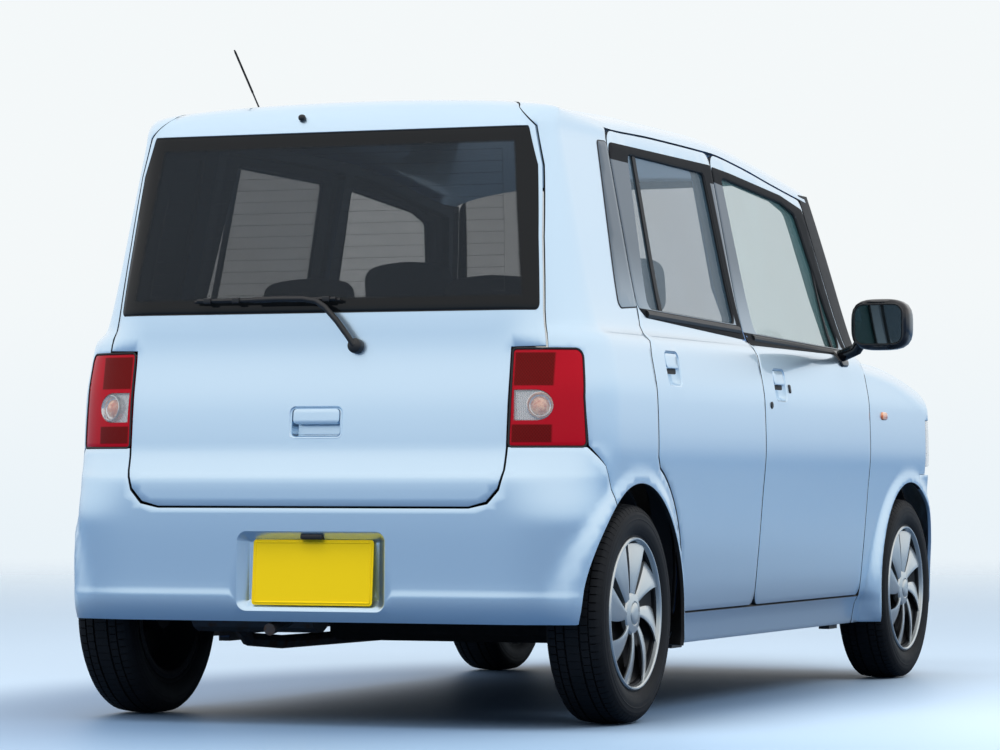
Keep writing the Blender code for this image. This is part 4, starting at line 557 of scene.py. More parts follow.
# %% Outlines
def filleted(corners, pieces=6):
    """A closed outline of (a, b, radius) corners, rounded where the radius isn't nought."""
    points = []
    count = len(corners)
    for i, (a, b, radius) in enumerate(corners):
        here = Vector((a, b))
        if radius == 0:
            points.append(here)
            continue
        back = (Vector(corners[i - 1][:2]) - here).normalized()
        ahead = (Vector(corners[(i + 1) % count][:2]) - here).normalized()
        half = acos(max(-1.0, min(1.0, back.dot(ahead)))) / 2
        reach = radius / tan(half)
        centre = here + (back + ahead).normalized() * (radius / sin(half))
        first, last = here + back * reach - centre, here + ahead * reach - centre
        sweep = atan2(first.x * last.y - first.y * last.x, first.dot(last))
        for k in range(pieces + 1):
            c, d = cos(sweep * k / pieces), sin(sweep * k / pieces)
            points.append(centre + Vector((first.x * c - first.y * d, first.x * d + first.y * c)))
    return points


def area(loop):
    return sum(p.x * q.y - q.x * p.y for p, q in zip(loop, loop[1:] + loop[:1])) / 2


def offset(loop, distance):
    """The outline drawn a distance inside itself."""
    sign = 1.0 if area(loop) > 0 else -1.0
    moved = []
    for i, here in enumerate(loop):
        into = (here - loop[i - 1]).normalized()
        out = (loop[(i + 1) % len(loop)] - here).normalized()
        normal = Vector((-into.y - out.y, into.x + out.x)).normalized()
        scale = max(normal.dot(Vector((-into.y, into.x))), 0.35)
        moved.append(here + normal * (sign * distance / scale))
    return moved


def inside(point, loop):
    hit = False
    for p, q in zip(loop, loop[1:] + loop[:1]):
        if (p.y > point.y) != (q.y > point.y):
            if point.x < (q.x - p.x) * (point.y - p.y) / (q.y - p.y) + p.x:
                hit = not hit
    return hit


def dense(loop, longest):
    points = []
    for p, q in zip(loop, loop[1:] + loop[:1]):
        parts = max(1, ceil((q - p).length / longest))
        points += [p.lerp(q, k / parts) for k in range(parts)]
    return points


def arc(centre_y, centre_z, radius, start, end, pieces):
    return [(centre_y + radius * cos(radians(start + (end - start) * k / pieces)),
             centre_z + radius * sin(radians(start + (end - start) * k / pieces)))
            for k in range(pieces + 1)]


# %% Lifting an outline onto its surface
def normal_at(surface, a, b):
    h = 0.0015
    across = surface(a + h, b) - surface(a - h, b)
    up = surface(a, b + h) - surface(a, b - h)
    n = across.cross(up).normalized()
    p = surface(a, b)
    return n if n.dot(p - Vector((0, 0.6 * p.y, 0.8))) > 0 else -n


def lay(surface, q, depth):
    n = normal_at(surface, q.x, q.y)
    p = surface(q.x, q.y)
    if callable(depth):
        return depth(p, n)
    return p - n * depth


SLIVER = 5e-8


def net(bm, surface, loops, rings, depth, reliefs, step, index=0, rows=()):
    """Fill the face between its rings with triangles on an even net of points."""
    points, edges, made = [], [], []

    def add(loop, verts):
        start = len(points)
        points.extend(loop)
        made.extend(verts)
        edges.extend((start + i, start + (i + 1) % len(loop)) for i in range(len(loop)))

    for loop, ring in zip(loops, rings):
        add(loop, ring)
    pockets = []
    for shape, levels in reliefs:
        for inset, deep in levels:
            loop = offset(shape, inset) if inset else shape
            add(loop, [bm.verts.new(lay(surface, q, depth + deep)) for q in loop])
        pockets.append((shape, loop, levels[-1][1]))
    low_a, high_a = min(p.x for p in loops[0]), max(p.x for p in loops[0])
    low_b, high_b = min(p.y for p in loops[0]), max(p.y for p in loops[0])
    walls = [p for loop in loops for p in loop] + [p for shape, _, _ in pockets for p in shape]
    cells = {}
    for p in walls:
        cells.setdefault((int(p.x / step), int(p.y / step)), []).append(p)
    near = step * 0.45

    def crowded(q):
        i, j = int(q.x / step), int(q.y / step)
        return any((p - q).length < near for di in (-1, 0, 1) for dj in (-1, 0, 1)
                   for p in cells.get((i + di, j + dj), ()))

    columns = max(1, round((high_a - low_a) / step))
    levels_b = max(1, round((high_b - low_b) / step))
    places_b = [low_b + (j + 0.5) * (high_b - low_b) / levels_b for j in range(levels_b)]
    places_b = [b for b in places_b if all(abs(b - row) > step * 0.4 for row in rows)]
    places_b += [row for row in rows if low_b < row < high_b]
    for i in range(columns):
        for b in places_b:
            q = Vector((low_a + (i + 0.5) * (high_a - low_a) / columns, b))
            if crowded(q) or not inside(q, loops[0]) or any(inside(q, h) for h in loops[1:]):
                continue
            deep = 0.0
            pocket = next((k for k in pockets if inside(q, k[0])), None)
            if pocket:
                if not inside(q, pocket[1]):
                    continue
                deep = pocket[2]
            points.append(q)
            made.append(bm.verts.new(lay(surface, q, depth if callable(depth) else depth + deep)))
    places, _, faces, origins, _, _ = delaunay_2d_cdt(points, edges, [], 0, 1e-7)
    for face in faces:
        middle = sum((places[i] for i in face), Vector((0, 0))) / len(face)
        if abs(area([places[i] for i in face])) < SLIVER:
            continue
        if inside(middle, loops[0]) and not any(inside(middle, h) for h in loops[1:]):
            if all(origins[i] for i in face):
                bm.faces.new([made[origins[i][0]] for i in face]).material_index = index


NO_EDGE_SHADE_OR_BACK = 99
ROUNDED = ((0.0, 0.0014), (0.0003, 0.0006), (0.0007, 0.0002), (0.0014, 0.0))


def panel(surface, outer, rims, holes=(), hole_rims=None, reliefs=(), step=0.028, back=0.08,
          edge_shade_and_back_from=NO_EDGE_SHADE_OR_BACK, rows=()):
    """A panel on a surface. The rims go from the outer face in: a depth, and an inset.

    From the rim numbered by the last but one argument on, the faces take the second of the piece's
    materials, and so does the back. On the edges this dark material is painted shade in the gaps
    between panels. Rows are heights at which the net follows a crease of the surface.
    """
    bm = bmesh.new()
    tops, feet, first_loops, last_loops = [], [], [], []
    for index, loop in enumerate([outer] + list(holes)):
        levels = rims if index == 0 else (hole_rims or (rims[0], rims[-1]))
        rings, loops = [], []
        for depth, inset in levels:
            inset = inset if index == 0 else -inset
            drawn = offset(loop, inset) if inset else loop
            loops.append(drawn)
            rings.append([bm.verts.new(lay(surface, q, depth)) for q in drawn])
        for turn, (upper, lower) in enumerate(zip(rings, rings[1:])):
            # Painted shade: from the given rim on, the edge takes the dark second material, so gaps read
            # dark.
            late = int(turn + max(0, len(rims) - len(levels)) >= edge_shade_and_back_from)
            for i in range(len(loop)):
                k = (i + 1) % len(loop)
                face = bm.faces.new((upper[i], upper[k], lower[k], lower[i]))
                face.material_index = late
        tops.append(rings[0])
        feet.append(rings[-1])
        first_loops.append(loops[0])
        last_loops.append(loops[-1])
    net(bm, surface, first_loops, tops, rims[0][0], reliefs, step, rows=rows)
    hidden = [] if callable(rims[-1][0]) else [(shape, ((0.0, levels[-1][1]),))
                                               for shape, levels in reliefs]
    net(bm, surface, last_loops, feet, rims[-1][0], hidden, back, int(edge_shade_and_back_from < NO_EDGE_SHADE_OR_BACK))
    return bm


# %% [markdown]
# ## Putting a piece in the scene
# Every piece needs the same few things: a mesh whose faces point outwards, smooth shading with
# sharp corners kept, a finish, the body it moves with, the solid it stands for and the material
# slot it belongs to. One function does all of them, so none is forgotten.

# %% Finishing a piece
PIECES = {}


def in_scene(name, bm):
    mesh = bpy.data.meshes.new(name)
    bm.to_mesh(mesh)
    bm.free()
    thing = bpy.data.objects.new(name, mesh)
    bpy.context.collection.objects.link(thing)
    return thing


def shape_of(thing):
    """What a piece looks like after its modifiers, as a mesh."""
    return bpy.data.meshes.new_from_object(
        thing.evaluated_get(bpy.context.evaluated_depsgraph_get()))


def taken(mesh):
    """A mesh to work on, from one that isn't needed any more."""
    bm = bmesh.new()
    bm.from_mesh(mesh)
    bpy.data.meshes.remove(mesh)
    return bm


def dress(name, bm, material, body="body", replaced=(), angle=32):
    bmesh.ops.recalc_face_normals(bm, faces=bm.faces[:])
    thing = in_scene(name, bm)
    mesh = thing.data
    for made in material if isinstance(material, (list, tuple)) else (material,):
        mesh.materials.append(made)
    mesh.shade_smooth()
    mesh.set_sharp_from_angle(angle=radians(angle))
    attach(thing, body)
    if replaced:
        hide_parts(*((replaced,) if isinstance(replaced, str) else replaced))
    PIECES[name] = thing
    return thing


def moved(bm, place=(0, 0, 0), turn=Matrix.Identity(3)):
    """Turn a mesh about the origin, and then move it to its place."""
    bmesh.ops.rotate(bm, matrix=turn, verts=bm.verts[:])
    bmesh.ops.translate(bm, vec=place, verts=bm.verts[:])
    return bm


def join(*parts):
    """Several meshes as one, without joining their faces."""
    whole = bmesh.new()
    for bm in parts:
        mesh = bpy.data.meshes.new("part")
        bm.to_mesh(mesh)
        bm.free()
        whole.from_mesh(mesh)
        bpy.data.meshes.remove(mesh)
    return whole

# %% [markdown]
# ## Outlines of the doors and windows
# A door's outline is drawn in length and height, as it is seen square on. The corners are given
# with a radius each, and the door top follows the roof's edge. The rear door is cut away round
# the wheel arch, so part of its outline is an arc about the rear axle.

# %% Door and window outlines
FRONT_WINDOW = ((-0.668, 1.0, 0.03), (-0.462, 1.402, 0.05), (-0.34, 1.43, 0),
                (0.197, 1.468, 0.025), (0.16, 1.02, 0.03))
REAR_WINDOW = ((0.305, 1.04, 0.03), (0.338, 1.468, 0.025), (0.965, 1.474, 0.03),
               (1.03, 1.055, 0.03))
QUARTER_WINDOW = ((1.135, 1.06, 0.012), (1.135, 1.474, 0.012), (1.168, 1.472, 0.012),
                  (1.232, 1.066, 0.02))
FINE = 0.022
BELT_ROWS = (0.935, 0.95, 0.962, 0.974, 0.985, 0.994, 1.003, 1.013, 1.023, 1.033, 1.048, 1.068)


def pillar_y(z):
    return -0.538 - 0.4 * (1.446 - z)


def on_side(corners, longest=FINE):
    return dense(filleted([(side_t(y), z, r) for y, z, r in corners]), longest)


def front_door_outline():
    head_y = pillar_y(roof_edge_z(-0.53))
    corners = [(DOOR_FRONT_Y, DOOR_BOTTOM, 0.035), (DOOR_FRONT_Y, BELT - 0.08, 0.06),
               (pillar_y(BELT), BELT, 0.08),
               (head_y, roof_edge_z(head_y) - PANEL_GAP, 0.045)]
    corners += [(y, roof_edge_z(y) - PANEL_GAP, 0)
                for y in (-0.41, -0.33, -0.247, -0.13, -0.015, 0.06, 0.13, 0.19)]
    end = DOOR_SPLIT_Y - PANEL_GAP / 2
    corners += [(end, roof_edge_z(end) - PANEL_GAP, 0.04), (end, DOOR_BOTTOM, 0.035)]
    return on_side(corners)


def rear_door_outline(grow=0.0):
    start = DOOR_SPLIT_Y + PANEL_GAP / 2 - grow
    bow = arc(REAR_AXLE_Y, TYRE_RADIUS, DOOR_ARCH - grow, 178, 112, 12)
    corners = [(start, DOOR_BOTTOM - grow, 0.035), (bow[0][0], DOOR_BOTTOM - grow, 0)]
    corners += [(y, z, 0) for y, z in bow]
    top_y = DOOR_REAR_TOP_Y + grow
    corners += [(DOOR_REAR_Y + grow, bow[-1][1] + 0.03, 0),
                (DOOR_REAR_Y + grow, BELT - 0.09, 0.06), (top_y, BELT + 0.015, 0.07),
                (top_y, roof_edge_z(DOOR_REAR_TOP_Y) - PANEL_GAP + grow, 0.045)]
    corners += [(y, roof_edge_z(y) - PANEL_GAP + grow, 0)
                for y in (0.98, 0.9, 0.77, 0.65, 0.52, 0.4)]
    corners += [(start, roof_edge_z(start) - PANEL_GAP + grow, 0.04)]
    return on_side(corners)


def door_inner(p, n):
    """The door's inner face: deep below the belt, shallow round the window."""
    depth = 0.085 + (0.036 - 0.085) * ease(BELT - 0.11, BELT - 0.03, p.z)
    x = abs(p.x) - depth
    if p.z < BELT - 0.2:
        x = max(x, 0.632)
    return Vector((copysign(x, p.x), p.y, p.z))


# %% [markdown]
# ## Doors
# Each door is a skin folded round its edge, with a thick box behind it below the belt and a thin
# sash round the window. The handles are pull flaps: a rounded pocket is pressed into the skin,
# and a separate flap covers its upper half, with a black sheet behind it as painted shadow under
# the flap. The pocket is a few rings that step down into the panel, so that its lip catches a
# highlight.

# %% Door skins
DOOR_RIMS = ROUNDED + ((0.01, 0.0), (0.01, 0.028), (door_inner, 0.028))
SASH_RIMS = ((0.0, 0.002), (0.0005, 0.0007), (0.002, 0.0), (0.014, 0.0), (door_inner, 0.0))
POCKET = ((0.0, 0.0), (0.0012, 0.0014), (0.004, 0.003), (0.006, 0.01), (0.012, 0.018),
          (0.02, 0.022))
HANDLES = {"front": (0.106, 0.88), "rear": (1.006, 0.903)}
HANDLE_HALF = (0.056, 0.047)


def rounded_box(a, b, half_a, half_b, radius, pieces=6):
    return filleted([(a - half_a, b - half_b, radius), (a + half_a, b - half_b, radius),
                     (a + half_a, b + half_b, radius), (a - half_a, b + half_b, radius)], pieces)


edges = {}
for sign, label in SIDES:
    face = mirrored(side, sign)
    for end, drawn, hole in (("front", front_door_outline(), FRONT_WINDOW),
                             ("rear", rear_door_outline(), REAR_WINDOW)):
        y, z = HANDLES[end]
        pocket = rounded_box(side_t(y), z, *HANDLE_HALF, 0.022)
        # Painted shade: past the first rounding the door's edge is dark trim, so the gap reads dark.
        bm = panel(face, drawn, DOOR_RIMS, [on_side(hole)], SASH_RIMS, reliefs=[(pocket, POCKET)],
                   edge_shade_and_back_from=1, rows=BELT_ROWS)
        owner = "door_%s_%s" % (end, label)
        dress("skin_" + owner, bm, (PAINT, TRIM), owner, owner + "_panel")
        flap = rounded_box(side_t(y), z + 0.021, 0.0475, 0.0195, 0.012)
        bm = panel(face, flap, ((0.001, 0.002), (0.0014, 0.0008), (0.003, 0.0), (0.012, 0.0)),
                   step=0.02)
        dress("handle_%s_%s" % (end, label), bm, PAINT, owner)
        # Painted shadow: a black sheet in the pocket stands in for the shade under the flap.
        shadow_sheet = rounded_box(side_t(y), z + 0.004, 0.042, 0.0155, 0.01)
        bm = panel(face, shadow_sheet, ((0.0096, 0.0), (0.0112, 0.0)), step=0.02)
        dress("handle_well_%s_%s" % (end, label), bm, SEAL, owner)
        edges[owner] = [lay(face, q, 0.005) for q in offset(drawn, 0.0034)]

# %% [markdown]
# ## Body sides
# Behind the rear door one large pressing runs from the sill over the wheel arch and round the
# corner of the tail, and rolls over into the roof. It is cut by the tailgate, the tail lamp and
# the bumper, so its outline walks round all of them in turn.

# %% Body sides
def gate_edge(grow=0.0):
    points = [(TAIL_FLAT - 0.035 + grow, SHELL_TOP), (TAIL_FLAT + 0.012 + grow, 1.56)]
    for x, z in ((0.532, 1.5), (0.555, 1.4), (0.569, 1.22), (0.584, 1.035)):
        points.append((tail_t(x + grow, z), z))
    return points


def body_side_outline():
    gap = PANEL_GAP
    low_front = side_t(DOOR_FRONT_Y)
    corners = [(low_front, SILL_BOTTOM, 0), (low_front, DOOR_BOTTOM - gap, 0)]
    bow = arc(REAR_AXLE_Y, TYRE_RADIUS, DOOR_ARCH - gap, 178, 112, 12)
    corners += [(side_t(bow[0][0]), DOOR_BOTTOM - gap, 0)]
    corners += [(side_t(y), z, 0) for y, z in bow]
    corners += [(side_t(DOOR_REAR_Y + gap), bow[-1][1] + 0.03, 0),
                (side_t(DOOR_REAR_Y + gap), BELT - 0.09, 0.055),
                (side_t(DOOR_REAR_TOP_Y + gap), BELT + 0.015, 0.07),
                (side_t(DOOR_REAR_TOP_Y + gap), SHELL_TOP, 0)]
    corners += [(t, SHELL_TOP, 0) for t in
                (side_t(1.2), side_t(ROOF_REAR_Y), TAIL_TURN - 0.12, TAIL_TURN - 0.27)]
    corners += [(t, z, 0) for t, z in gate_edge(gap)]
    top, low, fit = 0.94, 0.697, 0.0008
    corners += [(tail_t(0.604, top), top + fit, 0), (tail_t(0.6765, top) + fit, top + fit, 0.021),
                (tail_t(0.6855, 0.82) + fit, 0.82, 0), (tail_t(0.693, low) + fit + 0.004, 0.7, 0),
                (wall_t(1.515, 0.65), 0.65, 0)]
    corners += [(wall_t(y, z), z, 0) for y, z in
                arc(REAR_AXLE_Y, TYRE_RADIUS, ARCH_RADIUS, 57, 180, 40)]
    corners += [(side_t(REAR_AXLE_Y - ARCH_RADIUS), SILL_BOTTOM, 0)]
    return dense(filleted(corners), FINE)


CREASES = (0.285, 0.303, 0.316, 0.3225, 0.3265, 0.331, 0.336, 0.341, 0.3465, 0.365, 0.478,
           0.492, 0.506, 0.519, 0.531, 0.541, 0.557, 0.571, 0.588, 0.606, 0.618, 0.6255,
           0.632, 0.64, 0.655, 0.669, 0.681, 0.694, 0.71)
SKIN_RIMS = ((0.0, 0.0014), (0.0004, 0.0004), (0.0014, 0.0), (0.01, 0.0))
for sign, label in SIDES:
    bm = panel(mirrored(shell, sign), body_side_outline(), SKIN_RIMS, [on_side(QUARTER_WINDOW)],
               step=0.018, back=0.035, rows=BELT_ROWS, edge_shade_and_back_from=1)
    dress("skin_body_side_" + label, bm, (PAINT, SEAL), "body", "body_side_" + label)

# %% [markdown]
# ## Roof
# The roof is one shallow dome that meets the sides along its rim. Its surface is given across and
# along, so the panel is drawn in plan. The rear edge is straight, and the front edge follows the
# curve of the windscreen.

# %% Roof
ROWS = (-0.41, -0.33, -0.247, -0.13, -0.015, 0.13, 0.27, 0.5, 0.75, 0.9, 1.05, 1.2)
parts = [k / 16 for k in range(-16, 17)]
wide = half_width(roof_edge_z(-0.6))
corners = []
for part in parts:
    x = wide * sin(part * pi / 2)
    corners.append((part * wide, screen_top_y(x) if abs(part) < 1 else -0.6))
corners += [(half_width(roof_edge_z(y)), y) for y in ROWS]
corners += [(part * half_width(roof_edge_z(ROOF_REAR_Y)), ROOF_REAR_Y - 0.004)
            for part in reversed(parts)]
corners += [(-half_width(roof_edge_z(y)), y) for y in reversed(ROWS)]
drawn = dense([Vector(c) for c in corners], 0.04)
bm = panel(roof, drawn, ((0.0, 0.0), (0.02, 0.002)), step=0.045)
dress("skin_roof", bm, PAINT, "body", "roof_panel")

# %% [markdown]
# ## Tailgate
# The tailgate fills the tail between the lamps. Its window isn't set in a frame: the glass is
# glued on from outside and covers the whole width, with a black band printed round its edge that
# hides the glue. So the painted panel is only a narrow rim beside the glass, a strip above it,
# and the lower half with the handle.

# %% Tailgate panel
def gate_outline():
    low = [(0.514, 0.944), (0.514, 0.8), (0.514, 0.697), (0.512, 0.64), (0.5, 0.595),
           (0.47, 0.562), (0.425, 0.55)]
    right = [Vector((t, s)) for t, s in gate_edge()]
    right[0].y -= PANEL_GAP
    right.append(Vector((tail_t(0.599, 0.946), 0.946)))
    right += [Vector((tail_t(x, z), z)) for x, z in low]
    return right


def gate_inner(p, n):
    return p - n * (0.045 + (0.022 - 0.045) * ease(1.36, 1.46, p.z))


def both_halves(points):
    return points + [Vector((-p.x, p.y)) for p in reversed(points)]


gate = dense(both_halves(gate_outline()), FINE)
GLASS_LOW, GLASS_HIGH = 1.036, 1.5
glass_edge = [Vector((tail_t(x, z), z)) for x, z in
              ((0.518, GLASS_HIGH), (0.546, 1.4), (0.561, 1.22), (0.576, GLASS_LOW))]
corners = [(p.x, p.y, 0.018 if i in (0, 3, 4, 7) else 0)
           for i, p in enumerate(both_halves(glass_edge))]
glass_loop = dense(filleted(corners), FINE)
GATE_HOLE_RIMS = ((0.0, 0.0012), (0.0012, 0.0), (0.007, 0.0))
GRIP_Z = 0.7595
grip = rounded_box(0.0, GRIP_Z, 0.073, 0.041, 0.016)
GRIP_STEPS = ((0.0, 0.0), (0.002, 0.0022), (0.005, 0.0028), (0.007, 0.001), (0.0085, 0.012),
              (0.015, 0.026))
top_t, low_t = tail_t(0.485, 1.478), tail_t(0.543, 1.062)
window_loop = dense(filleted([(top_t, 1.478, 0.05), (low_t, 1.062, 0.04), (-low_t, 1.062, 0.04),
                              (-top_t, 1.478, 0.05)]), 0.03)
outer_skin = panel(shell, gate, ROUNDED + ((0.01, 0.0), (0.01, 0.004)), [glass_loop],
                   GATE_HOLE_RIMS + ((0.01, 0.0),), reliefs=[(grip, GRIP_STEPS)], edge_shade_and_back_from=3,
                   rows=CREASES)
inner_skin = panel(shell, offset(gate, 0.024), ((0.0102, 0.0), (gate_inner, 0.002)), [window_loop],
                   ((0.0102, 0.0), (gate_inner, 0.0)), reliefs=[(grip, ((0.0, 0.018),))],
                   step=0.06)
for face in inner_skin.faces:
    face.material_index = 1
dress("skin_tailgate", join(outer_skin, inner_skin), (PAINT, TRIM), "tailgate",
      "tailgate_panel")
flap = rounded_box(0.0, GRIP_Z + 0.0155, 0.0635, 0.019, 0.01)
bm = panel(shell, flap, ((-0.0005, 0.0025), (0.0, 0.001), (0.0015, 0.0), (0.014, 0.0)),
           step=0.02)
dress("handle_tailgate", bm, PAINT, "tailgate")

# %% [markdown]
# ## Rear bumper
# The bumper is one moulding painted like the body. It wraps round both corners to the wheel
# arches, and has a pressed pocket for the plate, with soft corners and a sloping wall.

# %% Rear bumper
low = [(0.425, 0.545), (0.475, 0.556), (0.505, 0.59), (0.517, 0.64), (0.519, 0.6962)]
left = [Vector((0.0, 0.545))] + [Vector((tail_t(x, z), z)) for x, z in low]
left += [Vector((tail_t(0.693, 0.697), 0.6962)), Vector((wall_t(1.515, 0.65) - 0.0008, 0.65))]
left += [Vector((wall_t(y, z) - 0.0003, z)) for y, z in
         arc(REAR_AXLE_Y, TYRE_RADIUS, ARCH_RADIUS, 56.5, -3, 24)]
left += [Vector((wall_t(1.6, 0.3) - 0.03, 0.26)), Vector((0.3, 0.26))]
drawn = dense(left + [Vector((-p.x, p.y)) for p in reversed(left[1:])], FINE)
recess = rounded_box(0.0, 0.387, 0.203, 0.1, 0.026, 8)
RECESS_STEPS = ((0.0, 0.0), (0.0012, 0.0008), (0.004, 0.0036), (0.013, 0.014),
                (0.023, 0.0255), (0.027, 0.028))
bm = panel(shell, drawn, SKIN_RIMS[:3] + ((0.0098, 0.0),), reliefs=[(recess, RECESS_STEPS)],
           edge_shade_and_back_from=2, rows=CREASES)
dress("skin_rear_bumper", bm, (PAINT, SEAL), "body", "rear_bumper")

# %% [markdown]
# ## Wings, bonnet and front bumper
# The front of the car turns away from this view, but the car is seen from all sides. The wing
# runs from the door to the middle of the nose, and its top rolls over into the bonnet.

# %% Front panels
LAMP_END_T = side_t(-1.375)
LAMP_FRONT_T = NOSE_MIDDLE - 0.37
HEAD_LOW, HEAD_TOP, BUMPER_TOP = 0.655, 0.8, 0.63


def wing_outline():
    rear = side_t(DOOR_FRONT_Y - PANEL_GAP)
    corners = [(rear, SILL_BOTTOM), (rear, 0.5), (rear, BELT - 0.083)]
    for y, drop in ((-0.79, 0.07), (-0.85, 0.045), (-0.9, 0.02)):
        corners.append((side_t(y), nose_top(side_t(y)) - drop))
    corners += [(side_t(y), nose_top(side_t(y))) for y in
                (-0.935, -1.0, -1.05, -1.11, -1.17, -1.22, -1.28, -1.34)]
    corners += [(SIDE_END + (NOSE_MIDDLE - SIDE_END) * k / 20,
                 nose_top(SIDE_END + (NOSE_MIDDLE - SIDE_END) * k / 20)) for k in range(21)]
    corners.append((NOSE_MIDDLE, HEAD_TOP))
    corners += [(t, HEAD_TOP + 0.0008) for t in
                (LAMP_FRONT_T, SIDE_END + NOSE_CORNER * 0.9, SIDE_END + NOSE_CORNER * 0.3)]
    edge = LAMP_END_T - 0.0008
    corners += [(edge, HEAD_TOP + 0.0008), (edge, HEAD_LOW), (edge, BUMPER_TOP + 0.0003)]
    seam = arc(FRONT_AXLE_Y, TYRE_RADIUS, ARCH_RADIUS, 110.5, 0, 36)
    corners += [(side_t(seam[0][0] + 0.0003), BUMPER_TOP + 0.0003),
                (side_t(seam[0][0] + 0.0003), seam[0][1])]
    corners += [(side_t(y), z) for y, z in seam[1:]]
    corners += [(side_t(FRONT_AXLE_Y + ARCH_RADIUS), SILL_BOTTOM)]
    return corners


for sign, label in SIDES:
    drawn = [Vector((min(a, NOSE_MIDDLE - 0.0003), b)) for a, b in wing_outline()]
    bm = panel(mirrored(nose, sign), dense(drawn, FINE), SKIN_RIMS, edge_shade_and_back_from=1, step=0.013, back=0.03)
    dress("skin_wing_" + label, bm, (PAINT, SEAL), "body", "wing_" + label)


def bonnet_rear_y(x):
    return -1.095 + 0.17 * (x / (HALF_WIDTH - BONNET_INSET)) ** 2


half = HALF_WIDTH - BONNET_INSET - PANEL_GAP / 2
bow = NOSE_CORNER - BONNET_INSET - PANEL_GAP / 2
middle_x, middle_y = HALF_WIDTH - NOSE_CORNER, NOSE_CORNER - HALF_LENGTH
corners = [(half * k / 16, bonnet_rear_y(half * k / 16)) for k in range(-16, 17)]
quarter = [pi / 2 * k / 12 for k in range(13)]
corners += [(middle_x + bow * cos(a), middle_y - bow * sin(a)) for a in quarter]
corners += [(-middle_x - bow * sin(a), middle_y - bow * cos(a)) for a in quarter]
drawn = dense([Vector(c) for c in corners], 0.03)


def bonnet_top(x, y):
    return Vector((x, y, bonnet_z(x, y)))


bm = panel(bonnet_top, drawn, ROUNDED + ((0.008, 0.0), (0.012, 0.018), (0.03, 0.022)),
           edge_shade_and_back_from=3, step=0.035)
dress("skin_bonnet", bm, (PAINT, UNDER), "bonnet", "bonnet")

half = [(t, BUMPER_TOP) for t in
        (NOSE_MIDDLE, NOSE_MIDDLE - 0.34, LAMP_FRONT_T - 0.1, SIDE_END + 0.2, SIDE_END + 0.05)]
seam = [(side_t(y) if y > NOSE_CORNER - HALF_LENGTH else
         solve(lambda t: nose(t, z).y, y, SIDE_END - 0.1, NOSE_TURN), z)
        for y, z in arc(FRONT_AXLE_Y, TYRE_RADIUS, ARCH_RADIUS, 110.5, 186, 24)]
half.append((seam[0][0], BUMPER_TOP))
half += seam + [(t, 0.17) for t in (seam[-1][0] + 0.02, NOSE_TURN, NOSE_MIDDLE)]
left = [Vector(c) for c in half]
drawn = left[::-1] + [Vector((2 * NOSE_MIDDLE - p.x, p.y)) for p in left[1:-1]]


def on_nose(*corners):
    return filleted([(NOSE_MIDDLE + a, b, r) for a, b, r in corners])


intake = on_nose((-0.3, 0.5, 0.02), (-0.32, 0.59, 0.02), (0.32, 0.59, 0.02), (0.3, 0.5, 0.02))
mouth = on_nose((-0.44, 0.195, 0.02), (-0.4, 0.275, 0.03), (0.4, 0.275, 0.03), (0.44, 0.195, 0.02))
front_recess = on_nose((-0.17, 0.295, 0), (0.17, 0.295, 0), (0.17, 0.47, 0), (-0.17, 0.47, 0))
HOLLOW = ((0.0, 0.0), (0.0012, 0.0008), (0.006, 0.008))
bm = panel(nose, dense(drawn, FINE), SKIN_RIMS,
           reliefs=[(intake, HOLLOW), (mouth, HOLLOW),
                    (front_recess, ((0.0, 0.0), (0.0012, 0.0052)))], step=0.018, back=0.035)
dress("skin_front_bumper", bm, PAINT, "body", "front_bumper")
for label, shape in (("intake", intake), ("mouth", mouth)):
    bm = panel(nose, dense(offset(shape, 0.0095), FINE), ((0.0052, 0.0), (0.0074, 0.0)), step=0.04)
    dress("front_%s_mesh" % label, bm, MOULDED)
print("panels", len(PIECES))

# %% [markdown]
# ## Glass
# Car glass is thin and nearly flat, so nothing bends behind it: it only dims the view and mirrors
# the room. The finish is therefore a dark gloss that lets part of the view through. How much
# differs from pane to pane: the doors in front are hardly tinted, and those behind have privacy
# glass. The small quarter window is all film, dark grey with a painted reflection that pales it
# towards the belt. At a flat angle any glass lets less through, which the facing value adds.

# %% Glass finishes
def flat_angle(glass):
    return glass.node("LayerWeight", sockets={"Blend": 0.35}, out="Facing") ** 3.0


def glazing(name, colour, cover):
    glass = Finish(name, rough=0.02)
    glass.colour(glass.noise(7.0, 2.0), colour, [c * 1.6 for c in colour])
    glass.set("Alpha", flat_angle(glass) * 0.25 + cover)
    return glass


CLEAR_GLASS = glazing("clear_glass", (0.12, 0.3, 0.31), 0.1).material
PRIVACY_GLASS = glazing("privacy_glass", (0.06, 0.105, 0.14), 0.3).material

gate_glass = Finish("tailgate_glass", rough=0.03, specular_ior_level=0.22)
x, y, z = gate_glass.axes()
margin = (0.5755 - (z - GLASS_LOW) * 0.125 - x.size()).lower(z - GLASS_LOW).lower(GLASS_HIGH - z)
dots = waves(x, z, 900.0, 900.0)
printed = 1.0 - (margin + dots * 0.01 - 0.005).step(0.036, 0.038)
gate_glass.colour(printed, (0.014, 0.019, 0.024), (0.006, 0.007, 0.008))
gate_glass.set("Alpha", (printed + 0.56 + flat_angle(gate_glass) * 0.2).lower(1.0))
GATE_GLASS = gate_glass.material

